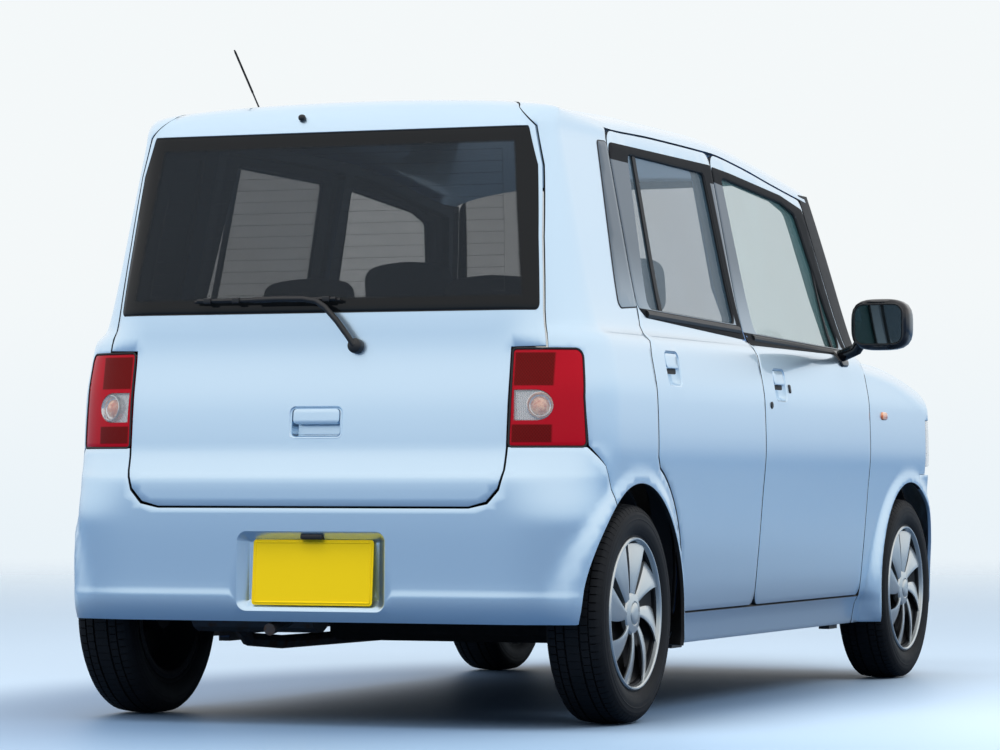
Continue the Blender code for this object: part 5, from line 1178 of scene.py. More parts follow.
# %% Panes and the film round the windows
PANE_RIMS = ((0.006, 0.0), (0.0062, 0.0004), (0.011, 0.0004))
FILM_RIMS = ((-0.0016, 0.0016), (-0.0012, 0.0003), (0.0008, 0.0))
FRONT_FILM = ((-0.713, 0.984, 0.02), (-0.543, 1.416, 0.03), (-0.345, 1.447, 0),
              (0.1, 1.479, 0), (0.2621, 1.487, 0.012), (0.2621, 0.988, 0.004))
REAR_FILM = ((0.2679, 1.002, 0.004), (0.2679, 1.49, 0.012), (1.1024, 1.491, 0.03),
             (1.1024, 1.062, 0.03), (1.052, 1.034, 0.02))
QUARTER_FILM = ((1.1086, 1.058, 0.01), (1.1086, 1.492, 0.016), (1.181, 1.49, 0.016),
                (1.249, 1.05, 0.02))
FRONT_SILL, REAR_SILL = (1.0161, 0.0242), (1.0337, 0.0207)
front_film = window_film("front_window_film", (1.4541, 0.0708), FRONT_SILL, (-1.1804, 0.5124, 0.3))
rear_film = window_film("rear_window_film", (1.4648, 0.0096), REAR_SILL, (0.2246, 0.0771, 0.036))
quarter_film = window_film("quarter_window_film")
for sign, label in SIDES:
    face, flank = mirrored(side, sign), mirrored(shell, sign)
    for end, hole, film_edge, finish, film in (
            ("front", FRONT_WINDOW, FRONT_FILM, CLEAR_GLASS, front_film),
            ("rear", REAR_WINDOW, REAR_FILM, PRIVACY_GLASS, rear_film)):
        owner = "door_%s_%s" % (end, label)
        opening = on_side(hole)
        dress("pane_%s_%s" % (end, label), panel(face, offset(opening, 0.0006), PANE_RIMS),
              finish, owner, "glass_%s_%s" % (end, label))
        dress("window_film_%s_%s" % (end, label),
              panel(face, on_side(film_edge), FILM_RIMS, [offset(opening, 0.003)],
                    ((-0.0016, 0.0), (0.0035, 0.0), (0.005, 0.0)), rows=BELT_ROWS), film, owner)
    fixed = on_side(QUARTER_FILM)
    dress("pane_quarter_" + label,
          panel(flank, offset(fixed, 0.003), ((-0.0022, 0.0014), (-0.0017, 0.0003),
                                               (0.0006, 0.0)), rows=BELT_ROWS),
          quarter_film, "body", "quarter_glass_" + label)
    dress("window_film_quarter_" + label, panel(flank, fixed, FILM_RIMS, rows=BELT_ROWS), SEAL,
          "body")
bm = panel(shell, offset(glass_loop, 0.0022), ((0.0006, 0.002), (0.001, 0.0006), (0.0024, 0.0),
                                               (0.0058, 0.0)))
dress("pane_tailgate", bm, GATE_GLASS, "tailgate", "tailgate_glass")

# %% [markdown]
# ## Paths and rings with Geometry Nodes
# Seals, wires and stitches all follow a path, and tread blocks, blades and bolts all repeat round
# a ring. Both jobs are given to small node trees with named inputs: one sweeps a round profile
# along the edges it is given, the other sets copies of a piece round the axle. The result is
# turned into a plain mesh at once, so nothing live is left on the pieces.

# %% Node trees that sweep and repeat
class Recipe:
    """A tree of geometry nodes with named inputs, run once on a mesh."""

    def __init__(self, name, *inputs):
        self.tree = bpy.data.node_groups.new(name, "GeometryNodeTree")
        face = self.tree.interface
        face.new_socket("Mesh", in_out="INPUT", socket_type="NodeSocketGeometry")
        face.new_socket("Mesh", in_out="OUTPUT", socket_type="NodeSocketGeometry")
        self.names = {}
        for key, kind in inputs:
            socket = face.new_socket(key, in_out="INPUT", socket_type="NodeSocket" + kind)
            self.names[key] = socket.identifier
        self.start = self.tree.nodes.new("NodeGroupInput")

    def node(self, kind, **sockets):
        named = {key.replace("_", " "): value for key, value in sockets.items()}
        return node(self.tree, kind, sockets=named)

    def given(self, key):
        return Value(self.tree, self.start.outputs[key])

    def close(self, geometry):
        real = self.node("GeometryNodeRealizeInstances", Geometry=geometry)
        last = self.node("GeometryNodeSetMaterial", Geometry=real, Material=self.given("Material"))
        self.tree.links.new(last.socket, self.tree.nodes.new("NodeGroupOutput").inputs[0])

    def run(self, bm, material, **values):
        thing = in_scene("seed", bm)
        modifier = thing.modifiers.new("recipe", "NODES")
        modifier.node_group = self.tree
        modifier[self.names["Material"]] = material
        for key, value in values.items():
            modifier[self.names[key]] = value
        bpy.context.view_layer.update()
        grown = shape_of(thing)
        bpy.data.objects.remove(thing, do_unlink=True)
        whole = taken(grown)
        for face in whole.faces:
            face.material_index = 0
        return whole


sweep = Recipe("sweep", ("Radius", "Float"), ("Sides", "Int"), ("Material", "Material"))
path_curve = sweep.node("GeometryNodeMeshToCurve", Mesh=sweep.given("Mesh"))
profile = sweep.node("GeometryNodeCurvePrimitiveCircle", Resolution=sweep.given("Sides"),
                     Radius=sweep.given("Radius"))
sweep.close(sweep.node("GeometryNodeCurveToMesh", Curve=path_curve, Profile_Curve=profile,
                       Fill_Caps=True))

ring = Recipe("ring_of_copies", ("Count", "Int"), ("Material", "Material"))
line = ring.node("GeometryNodeMeshLine", Count=ring.given("Count"), Offset=(0.0, 0.0, 0.0))
turn = ring.node("GeometryNodeInputIndex") / ring.given("Count") * (2 * pi)
euler = ring.node("ShaderNodeCombineXYZ", X=turn)
rotation = ring.node("FunctionNodeEulerToRotation", Euler=euler)
ring.close(ring.node("GeometryNodeInstanceOnPoints", Points=line, Instance=ring.given("Mesh"),
                     Rotation=rotation))


def swept(paths, radius, material, sides=6, closed=False):
    """A round bead along each path of points."""
    bm = bmesh.new()
    for path in paths:
        verts = [bm.verts.new(p) for p in path]
        for first, last in zip(verts, verts[1:] + (verts[:1] if closed else [])):
            if first is not last:
                bm.edges.new((first, last))
    return sweep.run(bm, material, Radius=radius, Sides=sides)


def placed(bm, place, sign=1):
    """Move a mesh to its place, mirrored across the car's middle where the sign says so."""
    bmesh.ops.scale(bm, vec=(sign, 1, 1), verts=bm.verts[:])
    return moved(bm, place)


# %% Seals, mouldings, dividers and heater wires
WIRE_Z = [1.085 + 0.03 * k for k in range(13)]


def wire(x, z):
    """A point on the inside of the tailgate's glass: x is a part of the half width there."""
    return lay(shell, Vector((x * (0.5 - (z - GLASS_LOW) * 0.12), z)), 0.0066)


for sign, label in SIDES:
    face = mirrored(side, sign)
    for end, hole in (("front", FRONT_WINDOW), ("rear", REAR_WINDOW)):
        path = [lay(face, q, 0.003) for q in offset(on_side(hole), 0.002)]
        dress("window_seal_%s_%s" % (end, label), swept([path], 0.0042, SEAL, 8, True), SEAL,
              "door_%s_%s" % (end, label))
    for end, first, last, (foot, slope) in (("front", -0.7, 0.192, FRONT_SILL),
                                            ("rear", 0.296, 1.046, REAR_SILL)):
        path = [lay(face, Vector((side_t(y), foot + slope * y - 0.011)), 0.0035)
                for y in (first + (last - first) * k / 24 for k in range(25))]
        dress("belt_moulding_%s_%s" % (end, label), swept([path], 0.012, MOULDED, 10), MOULDED,
              "door_%s_%s" % (end, label))
    for name, end, bar in (
            ("window_divider_front_", "front", ((-0.55, 1.228, 0), (-0.538, 1.248, 0),
                                                (-0.57, 1.0045, 0), (-0.588, 1.004, 0))),
            ("window_divider_", "rear", ((0.893, 1.4665, 0), (0.917, 1.4665, 0),
                                         (0.929, 1.0505, 0), (0.905, 1.049, 0)))):
        dress(name + label, panel(face, on_side(bar, 0.05), ((0.002, 0.0), (0.01, 0.0))), SEAL,
              "door_%s_%s" % (end, label))
# A black bead fills each door gap: partly a seal, partly painted shade that makes the gap read dark.
for owner, path in edges.items():
    dress("gap_seal_and_shade_" + owner[5:], swept([path], 0.0034, SEAL, 6, True), SEAL, owner)
wires = [[wire(2 * i / 24 - 1, z) for i in range(25)] for z in WIRE_Z]
wires += [[wire(end, z) for z in WIRE_Z] for end in (-1, 1)]
dress("heater_wires", swept(wires, 0.0004, STEEL, 3), STEEL, "tailgate")
edge = [lay(shell, q, 0.0018) for q in offset(glass_loop, 0.0008)]
dress("tailgate_glass_seal", swept([edge], 0.0016, SEAL, 6, True), SEAL, "tailgate")
print("pieces with glass", len(PIECES))

# %% [markdown]
# ## Tail lamps
# Each lamp is a red lens with a clear window let into it. Behind the window lie a ribbed silver
# reflector and a round bowl with an amber bulb. The red isn't even: the two inner blocks have
# optics pressed into their backs, which look darker, and the outer edge is brighter.

# %% Lamp finishes
red = Finish("red_lens", rough=0.08, specular_ior_level=0.1)
x, y, z = red.axes()
across = x.size()
blocks = (across.step(0.524, 0.529) * (1.0 - across.step(0.618, 0.624))
          * (z.between(0.848, 0.93, 0.002) + z.between(0.708, 0.752, 0.002)))
optics = waves(x, z, 900.0, 700.0)
red.colour(blocks * (0.8 + optics * 0.2), (0.42, 0.004, 0.014), (0.095, 0.002, 0.001))
red.bump(optics * blocks, 0.0004, 0.6)
RED = red.material

LENS_CLEAR = glazing("clear_lens", (0.55, 0.56, 0.57), 0.16).material

silver = Finish("silver_reflector", rough=0.24, metal=0.75)
ribs_and_painted_shade = ((silver.axes()[0] * 1400.0).sine() + 1.0) * 0.5
# Painted shade and highlight: the ribs are coloured lighter and darker, besides their bump.
silver.colour(ribs_and_painted_shade, (0.38, 0.38, 0.38), (0.6, 0.6, 0.59))
silver.bump(ribs_and_painted_shade, 0.0003, 0.5)
SILVER = silver.material

amber = Finish("amber_bulb", rough=0.15, coat_weight=1.0)
amber.colour(amber.noise(90.0, 2.0).step(0.35, 0.65), (0.85, 0.42, 0.22), (0.55, 0.1, 0.01))
AMBER = amber.material

chrome = Finish("bright_chrome", (0.72, 0.72, 0.73), metal=1.0)
chrome.set("Roughness", 0.08 + chrome.noise(60.0, 2.0) * 0.1)
CHROME = chrome.material


# %% Turned pieces
def lathe(section, sides=48, closed=False):
    """Turn a section of (x, radius) points about the X axis."""
    bm = bmesh.new()
    rows = []
    for along_x, radius in section:
        turns = [2 * pi * k / sides for k in range(sides if radius else 1)]
        rows.append([bm.verts.new((along_x, radius * sin(a), radius * cos(a)))
                     for a in turns])
    for row, following in zip(rows, rows[1:] + (rows[:1] if closed else [])):
        for k in range(sides):
            n = (k + 1) % sides
            if len(row) == 1 and len(following) > 1:
                bm.faces.new((row[0], following[n], following[k]))
            elif len(following) == 1 and len(row) > 1:
                bm.faces.new((row[k], row[n], following[0]))
            elif len(row) > 1:
                bm.faces.new((row[k], row[n], following[n], following[k]))
    return bm


def aimed(bm, place, direction):
    """Point a turned piece's X axis along a direction."""
    return moved(bm, place, Vector(direction).to_track_quat("X", "Z").to_matrix())


# %% Lamps
LAMP_CORNERS = ((0.5195, 0.697, 0.01), (0.6925, 0.697, 0.014), (0.6855, 0.82, 0),
                (0.6755, 0.94, 0.022), (0.5195, 0.94, 0.012))
BAND_LOW, BAND_HIGH, BULB_T = 0.762, 0.838, 0.608
for sign, label in SIDES:
    face = mirrored(shell, sign)
    corners = [(tail_t(x, z), z, r) for x, z, r in LAMP_CORNERS]
    drawn = dense(filleted(corners), 0.016)
    half = (BAND_HIGH - BAND_LOW) / 2
    middle = (BAND_LOW + BAND_HIGH) / 2
    start = tail_t(0.5295, middle)
    band = [Vector((start, BAND_LOW)), Vector((BULB_T, BAND_LOW))]
    band += [Vector((BULB_T + half * 1.25 * sin(pi * k / 14),
                     middle - half * cos(pi * k / 14))) for k in range(1, 14)]
    band += [Vector((BULB_T, BAND_HIGH)), Vector((start, BAND_HIGH))]
    band = dense(band, 0.016)
    bm = panel(face, offset(drawn, 0.0022),
               ((0.0, 0.004), (0.0006, 0.0012), (0.003, 0.0), (0.045, 0.0)),
               [band], ((0.0, 0.0), (0.004, 0.0), (0.045, 0.0)), step=0.014)
    dress("lamp_red_" + label, bm, RED, "body", "tail_lamp_" + label)
    bm = panel(face, offset(band, 0.0008), ((-0.0016, 0.005), (-0.0012, 0.0016), (0.0006, 0.0),
                                            (0.003, 0.0)), step=0.014)
    dress("lamp_window_" + label, bm, LENS_CLEAR, "body")
    bm = panel(face, offset(band, 0.001), ((0.015, 0.0), (0.02, 0.0)), step=0.014)
    dress("lamp_reflector_" + label, bm, SILVER, "body")
    place = lay(face, Vector((BULB_T + 0.01, middle)), 0.013)
    outwards = normal_at(face, BULB_T + 0.01, middle)
    bowl = [(0.0095, 0.0335), (0.01, 0.032), (0.008, 0.0305), (0.0, 0.027), (-0.006, 0.016),
            (-0.008, 0.0)]
    dress("lamp_bowl_" + label, aimed(lathe(bowl, 40), place, outwards), CHROME, "body")
    dome = [(-0.006 + 0.0145 * sin(a), 0.0245 * cos(a))
            for a in (pi / 2 * k / 7 for k in range(7))] + [(0.0085, 0.0)]
    dress("lamp_bulb_" + label, aimed(lathe(dome, 32), place, outwards), AMBER, "body")
    rim = [lay(face, q, 0.0004) for q in offset(drawn, 0.0002)]
    dress("lamp_seal_" + label, swept([rim], 0.0026, SEAL, 6, True), SEAL, "body")

# %% [markdown]
# ## Plate, locks and lamps on the sides
# The plate is a blank yellow sheet of metal with a pressed rim. It hangs in its pocket a little
# off the floor, leaning back, with a small lamp above it.

# %% Plate and small side pieces
yellow = Finish("yellow_plate", specular_ior_level=0.2)
bits = yellow.noise(700.0, 2.0)
yellow.colour(bits, (0.94, 0.635, 0.003), (0.99, 0.69, 0.005))
yellow.set("Roughness", 0.32 + bits * 0.14)
YELLOW = yellow.material


def plate_face(a, b):
    return Vector((a, 1.6745 - b * 0.085, 0.384 + b * 0.996))


def plate(surface, middle, back, rise):
    """A number plate's sheet of 330 by 165 mm, with a pressed ridge that stands up near its edge."""
    edge = dense(rounded_box(0.0, middle, 0.165, 0.0825, 0.009), 0.03)
    ridge = ((0.0, 0.0), (0.0012, -rise), (0.0034, -rise), (0.0046, 0.0))
    return panel(surface, edge, ((0.0, 0.0004), (0.0004, 0.0), (back, 0.0)),
                 reliefs=[(offset(edge, 0.005), ridge)], step=0.03)


dress("plate_sheet", plate(plate_face, 0.0, 0.0016, 0.0012), YELLOW, "body", "rear_plate")


def wall_box(low, high, radius=0.003):
    """A box with rounded edges between two corners."""
    bm = bmesh.new()
    bmesh.ops.create_cube(bm, size=1.0)
    size = [h - l for l, h in zip(low, high)]
    bmesh.ops.scale(bm, vec=size, verts=bm.verts[:])
    moved(bm, [(h + l) / 2 for l, h in zip(low, high)])
    bmesh.ops.bevel(bm, geom=bm.edges[:], offset=radius, segments=3, profile=0.5,
                    affect="EDGES", clamp_overlap=True)
    return bm


dress("plate_bracket", wall_box((-0.13, 1.655, 0.34), (0.13, 1.6665, 0.42), 0.004), MOULDED,
      "body")
dress("plate_lamp", wall_box((-0.03, 1.658, 0.466), (0.03, 1.684, 0.48), 0.004), MOULDED,
      "body")
for sign, label in SIDES:
    face = mirrored(side, sign)
    place = lay(face, Vector((side_t(0.205), 0.822)), -0.0006)
    bm = aimed(lathe([(0.0012, 0.0), (0.0012, 0.0035), (0.002, 0.0042), (0.002, 0.0085),
                      (0.001, 0.01), (-0.006, 0.01)], 32), place, (sign, 0, 0))
    dress("door_lock_" + label, bm, MOULDED, "door_front_" + label)
    button = rounded_box(side_t(0.026), 0.871, 0.0075, 0.0125, 0.006)
    bm = panel(face, button, ((-0.003, 0.002), (-0.0024, 0.0006), (0.0006, 0.0)), step=0.01)
    dress("door_button_" + label, bm, MOULDED, "door_front_" + label)
    blinker = rounded_box(side_t(-0.909), 0.808, 0.03, 0.0125, 0.0115)
    bm = panel(mirrored(nose, sign), blinker, ((-0.006, 0.008), (-0.0045, 0.003), (-0.001, 0.0),
                                    (0.0008, 0.0)), step=0.012)
    dress("side_blinker_" + label, bm, AMBER, "body")
print("pieces with lamps", len(PIECES))

# %% [markdown]
# ## Wheels
# The covers have eight blades like a fan: narrow at the hub, broad at the rim, and each one
# twisted so that one edge lies deep. One blade is drawn and a node tree sets it round the axle.
# The tyre is a turned section with shallow rings on its sidewall, and its tread is a row of
# blocks that the same tree repeats.

# %% Wheel finishes
cover = Finish("silver_cover", metal=0.85, coat_weight=0.6)
grain = cover.noise(1800.0, 2.0, 0.6)
cover.colour(grain, (0.5, 0.54, 0.55), (0.64, 0.68, 0.69))
cover.set("Roughness", 0.26 + grain * 0.12)
COVER = cover.material

rubber = Finish("tyre_rubber", specular_ior_level=0.18)
wear = rubber.noise(30.0, 4.0, 0.6)
rubber.colour(wear, (0.005, 0.006, 0.007), (0.013, 0.014, 0.017))
rubber.set("Roughness", 0.5 + wear * 0.22)
rubber.bump(rubber.noise(500.0, 3.0), 0.0001, 0.5)
RUBBER = rubber.material


# %% Blades, covers and tyres
def blade():
    """One blade of the cover, standing up along Z, with the car's outside towards +X."""
    bm = bmesh.new()
    rows = []
    for k in range(13):
        part = k / 12
        radius = 0.046 + 0.141 * part
        sweep_angle = radians(3.0 - 15.0 * part)
        half_angle = (0.0105 + 0.033 * part ** 1.15) / radius
        face_x = 0.0655 + 0.0055 * sin(pi * part) + 0.002 * part
        twist = 0.004 + 0.012 * part
        deep = 0.01 + 0.02 * part
        section = [(-twist * (u + 1) / 2 - 0.0022 * u ** 4, u) for u in (i / 4 - 1.0 for i in range(9))]
        section += [(-twist - deep, 1.0), (-twist - deep - 0.001, 0.86), (-0.008, -0.8),
                    (-0.006, -1.0)]
        angles = [sweep_angle + half_angle * u for _, u in section]
        rows.append([bm.verts.new((face_x + back, radius * sin(a), radius * cos(a)))
                     for (back, _), a in zip(section, angles)])
    skin(bm, rows)
    return bm


HUB = ((0.05, 0.0545), (0.06, 0.054), (0.064, 0.05), (0.0665, 0.04), (0.0675, 0.0315),
       (0.0655, 0.03), (0.0655, 0.0285), (0.069, 0.0275), (0.0712, 0.024), (0.0722, 0.012),
       (0.0724, 0.0))
LIP = ((0.056, 0.193), (0.069, 0.1935), (0.0728, 0.1905), (0.0728, 0.1875), (0.0695, 0.1845),
       (0.058, 0.1825), (0.042, 0.179), (0.042, 0.1835), (0.056, 0.186))
BARREL = ((-0.045, 0.0), (-0.045, 0.055), (0.01, 0.06), (0.022, 0.075), (0.022, 0.15),
          (0.01, 0.156), (-0.05, 0.16), (-0.066, 0.168), (-0.07, 0.178), (-0.066, 0.188),
          (-0.058, 0.1778), (0.0, 0.172), (0.04, 0.1778), (0.05, 0.176), (0.036, 0.15),
          (0.03, 0.06), (0.03, 0.0))


SIDEWALL = ((0.0, 0.058), (0.006, 0.0615), (0.018, 0.0665), (0.034, 0.0745), (0.05, 0.0775),
            (0.066, 0.0765), (0.078, 0.0735), (0.086, 0.069), (0.0925, 0.062))
TYRE_RINGS = ((0.0165, 0.0035, 0.0014), (0.025, 0.0014, 0.0006), (0.06, 0.0014, 0.0007),
              (0.072, 0.002, 0.0007))


def crown(x):
    return TYRE_RADIUS - 0.0057 * (x / 0.06) ** 2


def tyre():
    half = []
    for k in range(47):
        r = 0.0925 * k / 46
        bulge = sum(height * (1.0 - ease(width * 0.6, width, abs(r - place)))
                    for place, width, height in TYRE_RINGS)
        half.append((at(SIDEWALL, r) + bulge, RIM_RADIUS + r))
    for x in (0.056, 0.044, 0.043, 0.02, 0.019):
        half.append((x, crown(x) - 0.0062))
    section = half + [(-x, r) for x, r in reversed(half)]
    return lathe(section, 96, True)


def skin(bm, rows, capped=True):
    """Faces round closed rows of points, from row to row, and over both ends."""
    for row, following in zip(rows, rows[1:]):
        for i in range(len(row)):
            n = (i + 1) % len(row)
            bm.faces.new((row[i], row[n], following[n], following[i]))
    return [bm.faces.new(rows[0][::-1]), bm.faces.new(rows[-1])] if capped else []


def slab(profile, reach, turn=0.0):
    """A block with a profile in (x, radius), reaching as far both ways round the tyre."""
    bm = bmesh.new()
    skin(bm, [[bm.verts.new((x, y, r)) for x, r in profile] for y in (-reach, reach)])
    return moved(bm, turn=Matrix.Rotation(turn, 3, "X"))


TREADS = 84
pitch = 2 * pi / TREADS


def block(low_x, high_x):
    foot = 0.0085
    return ((low_x, crown(low_x) - foot), (low_x, crown(low_x)), (high_x, crown(high_x)),
            (high_x, crown(high_x) - foot))


def tread():
    shoulder = (*block(0.0455, 0.06)[:3], (0.0668, RIM_RADIUS + 0.09), (0.0738, RIM_RADIUS + 0.0795),
                (0.069, RIM_RADIUS + 0.078), (0.06, RIM_RADIUS + 0.087))
    blocks = []
    for sign in (1, -1):
        flipped = [(sign * x, r) for x, r in shoulder]
        blocks.append(slab(flipped, 0.0088, pitch * 0.2 * sign))
        rib = [(sign * x, r) for x, r in block(0.0225, 0.0415)]
        blocks.append(slab(rib, 0.0092, pitch * 0.5))
    blocks.append(slab(block(-0.017, 0.017), 0.0098))
    return join(*blocks)


WHEELS = [(sign, end + "_" + label, y) for sign, label in SIDES
          for end, y in (("front", FRONT_AXLE_Y), ("rear", REAR_AXLE_Y))]
for sign, name, y in WHEELS:
    centre = (sign * WHEEL_X, y, TYRE_RADIUS)
    fan = ring.run(blade(), COVER, Count=8)
    bmesh.ops.recalc_face_normals(fan, faces=fan.faces[:])
    whole = join(fan, lathe(HUB, 48), lathe(LIP, 96, True))
    bm = placed(whole, centre, sign)
    dress("wheel_cover_" + name, bm, COVER, "wheel_" + name, "wheel_" + name + "_rim",
          angle=28)
    bm = placed(lathe(BARREL, 64), centre, sign)
    dress("wheel_barrel_" + name, bm, MOULDED, "wheel_" + name, angle=28)
    blocks = ring.run(tread(), RUBBER, Count=TREADS)
    bm = placed(join(tyre(), blocks), centre, sign)
    dress("tyre_skin_" + name, bm, RUBBER, "wheel_" + name, "tyre_" + name, angle=38)
print("pieces with wheels", len(PIECES))

# %% [markdown]
# ## Mirrors, wiper, aerial and washer
# The mirrors are gloss black shells with a glass let into their rear face, on black stays. The
# wiper's arm is one swept bar with a bend, and its blade lies along the foot of the glass.

# %% Mirrors
mirror_glass = Finish("mirror_glass", (0.16, 0.19, 0.2), metal=1.0)
mirror_glass.set("Roughness", 0.02 + mirror_glass.noise(50.0, 2.0) * 0.02)
MIRROR_GLASS = mirror_glass.material


def bulging(half, place, power, rows=18, columns=32):
    """A box with soft bulging sides: a ball in a stronger norm."""
    bm = bmesh.new()

    def point(i, j):
        a, b = 2 * pi * i / columns, pi * j / rows - pi / 2
        p = Vector((cos(b) * cos(a), cos(b) * sin(a), sin(b)))
        size = sum(abs(c) ** power for c in p) ** (1 / power)
        return bm.verts.new(Vector([c / size * h for c, h in zip(p, half)]) + Vector(place))

    made = [[point(i, j) for i in range(columns)] for j in range(1, rows)]
    bottom, top = point(0, 0), point(0, rows)
    skin(bm, made, False)
    for i in range(columns):
        n = (i + 1) % columns
        bm.faces.new((bottom, made[0][n], made[0][i]))
        bm.faces.new((top, made[-1][i], made[-1][n]))
    return bm


for sign, label in SIDES:
    owner = "door_front_" + label
    place = Vector((sign * 0.847, -0.5, 1.07))
    bm = bulging((0.0885, 0.046, 0.0755), place, 3.4)
    for v in bm.verts:
        v.co.y -= 0.012 * (abs(v.co.x - place.x) / 0.0885) ** 2 * (1 if v.co.y < -0.5 else 0)
        if v.co.y > place.y + 0.034:
            v.co.y = place.y + 0.034
    dress("mirror_shell_" + label, bm, GLOSS, owner, "mirror_" + label)

    def mirror_face(a, b):
        return Vector((a, place.y + 0.0345, b))

    glass_edge = dense(rounded_box(place.x, place.z, 0.07, 0.056, 0.026), 0.02)
    bm = panel(mirror_face, glass_edge, ((-0.001, 0.001), (-0.0004, 0.0), (0.003, 0.0)),
               step=0.03)
    dress("mirror_glass_" + label, bm, MIRROR_GLASS, owner)
    lip = dense(rounded_box(place.x, place.z, 0.073, 0.059, 0.028), 0.02)
    lip = [mirror_face(q.x, q.y) for q in lip]
    dress("mirror_lip_" + label, swept([lip], 0.0028, MOULDED, 8, True), MOULDED, owner)
    root = side(side_t(-0.56), 0.975)
    start = Vector((sign * (root.x - 0.006), -0.56, 0.978))
    knee = Vector((sign * 0.76, -0.535, 1.0))
    head = Vector((sign * 0.788, -0.512, 1.034))
    path = [start.lerp(knee, k / 4) for k in range(4)] + [knee.lerp(head, k / 4) for k in range(5)]
    dress("mirror_stay_" + label, swept([path], 0.018, GLOSS, 16), GLOSS, owner)
    foot = rounded_box(side_t(-0.56), 0.974, 0.04, 0.026, 0.018)
    bm = panel(mirrored(side, sign), foot, ((-0.008, 0.01), (-0.007, 0.004), (-0.003, 0.0006),
                                            (0.001, 0.0)), step=0.02)
    dress("mirror_foot_" + label, bm, GLOSS, owner)

# %% Wiper, aerial and washer nozzle
PIVOT_X, PIVOT_Z = 0.1, 0.95


def on_tail(x, z, off):
    p = lay(shell, Vector((tail_t(abs(x), z), z)), -off)
    return Vector((x, p.y, p.z))


hub = lathe([(-0.014, 0.019), (0.0, 0.0195), (0.008, 0.018), (0.0125, 0.012), (0.014, 0.0)], 28)
hub = aimed(hub, on_tail(-PIVOT_X, PIVOT_Z, 0.012),
            normal_at(shell, tail_t(PIVOT_X, PIVOT_Z), PIVOT_Z))
spine = [(-PIVOT_X, PIVOT_Z, 0.02), (-0.085, 0.972, 0.024), (-0.055, 1.01, 0.027),
         (-0.02, 1.045, 0.029), (0.004, 1.06, 0.03), (0.04, 1.066, 0.03),
         (0.12, 1.067, 0.029), (0.18, 1.066, 0.026)]
arm = swept([[on_tail(*p) for p in spine]], 0.0078, MOULDED, 10)
blade_path = [on_tail(-0.055 + 0.405 * k / 24, 1.0655, 0.014) for k in range(25)]
rubber_edge = swept([blade_path], 0.004, SEAL, 8)
back_path = [on_tail(-0.045 + 0.385 * k / 24, 1.067, 0.021) for k in range(25)]
carrier = swept([back_path], 0.0052, MOULDED, 8)
clip = Vector((0.01, 0.01, 0.007))
clips = [wall_box(p - clip, p + clip, 0.002)
         for p in (on_tail(x, 1.0668, 0.02) for x in (-0.02, 0.06, 0.145, 0.23, 0.31))]
dress("wiper", join(hub, arm, rubber_edge, carrier, *clips), MOULDED, "tailgate",
      "rear_wiper", angle=40)

nozzle = on_tail(0.104, 1.533, 0.0)
dress("washer_nozzle", bulging((0.0095, 0.008, 0.0085), nozzle + Vector((0, 0.003, 0.002)), 2.4,
                               10, 16), MOULDED, "tailgate")

aerial_x, aerial_y = 0.372, 1.19
seat_z = roof_z(aerial_x, aerial_y)
base = bulging((0.015, 0.024, 0.011), (aerial_x, aerial_y, seat_z + 0.0035), 2.6, 12, 24)
foot = Vector((aerial_x, aerial_y + 0.004, seat_z + 0.011))
mast_path = [foot, foot + Vector((0.001, 0.014, 0.014)), foot + Vector((0.002, 0.04, 0.04)),
             foot + Vector((0.008, 0.14, 0.143))]
mast = swept([mast_path], 0.0022, SEAL, 8)
turns = 60
coil = []
for k in range(turns * 8 + 1):
    part = k / (turns * 8)
    p = mast_path[2].lerp(mast_path[3], part * 0.97)
    a = 2 * pi * turns * part
    coil.append(p + Vector((0.0024 * cos(a), 0.0017 * sin(a), -0.0017 * sin(a))))
winding = swept([coil], 0.0008, SEAL, 4)
dress("aerial_mast", join(base, mast, winding), SEAL, "body", "aerial", angle=40)

# %% [markdown]
# ## Front of the car
# The front isn't seen in the picture, so it is kept plain: clear lamps with a reflector behind,
# a slatted grille between them, dark intakes, and a windscreen with a printed border. The
# scuttle panel at the foot of the windscreen keeps the shape of its solid.

# %% Headlamps and grille
for sign, label in SIDES:
    face = mirrored(nose, sign)
    drawn = dense(filleted([(t, z, 0.02) for t, z in (
        (LAMP_END_T, HEAD_LOW), (LAMP_END_T, HEAD_TOP), (LAMP_FRONT_T, HEAD_TOP),
        (LAMP_FRONT_T + 0.02, HEAD_LOW))]), 0.02)
    bm = panel(face, drawn, ((0.001, 0.004), (0.0016, 0.0012), (0.004, 0.0), (0.007, 0.0)),
               step=0.02)
    dress("headlamp_lens_" + label, bm, LENS_CLEAR, "body", "headlamp_" + label)
    bm = panel(face, offset(drawn, 0.003), ((0.036, 0.0), (0.045, 0.0)), step=0.02)
    dress("headlamp_back_" + label, bm, SILVER, "body")
    for t in (LAMP_FRONT_T - 0.07, LAMP_FRONT_T - 0.19):
        place = lay(face, Vector((t, 0.728)), 0.03)
        bowl = lathe([(0.01, 0.045), (0.006, 0.042), (-0.006, 0.0315), (-0.012, 0.0135),
                      (0.002, 0.0099), (0.004, 0.0)], 36)
        dress("headlamp_bowl_%s_%d" % (label, round(t * 1000)),
              aimed(bowl, place, normal_at(face, t, 0.728)), CHROME, "body")


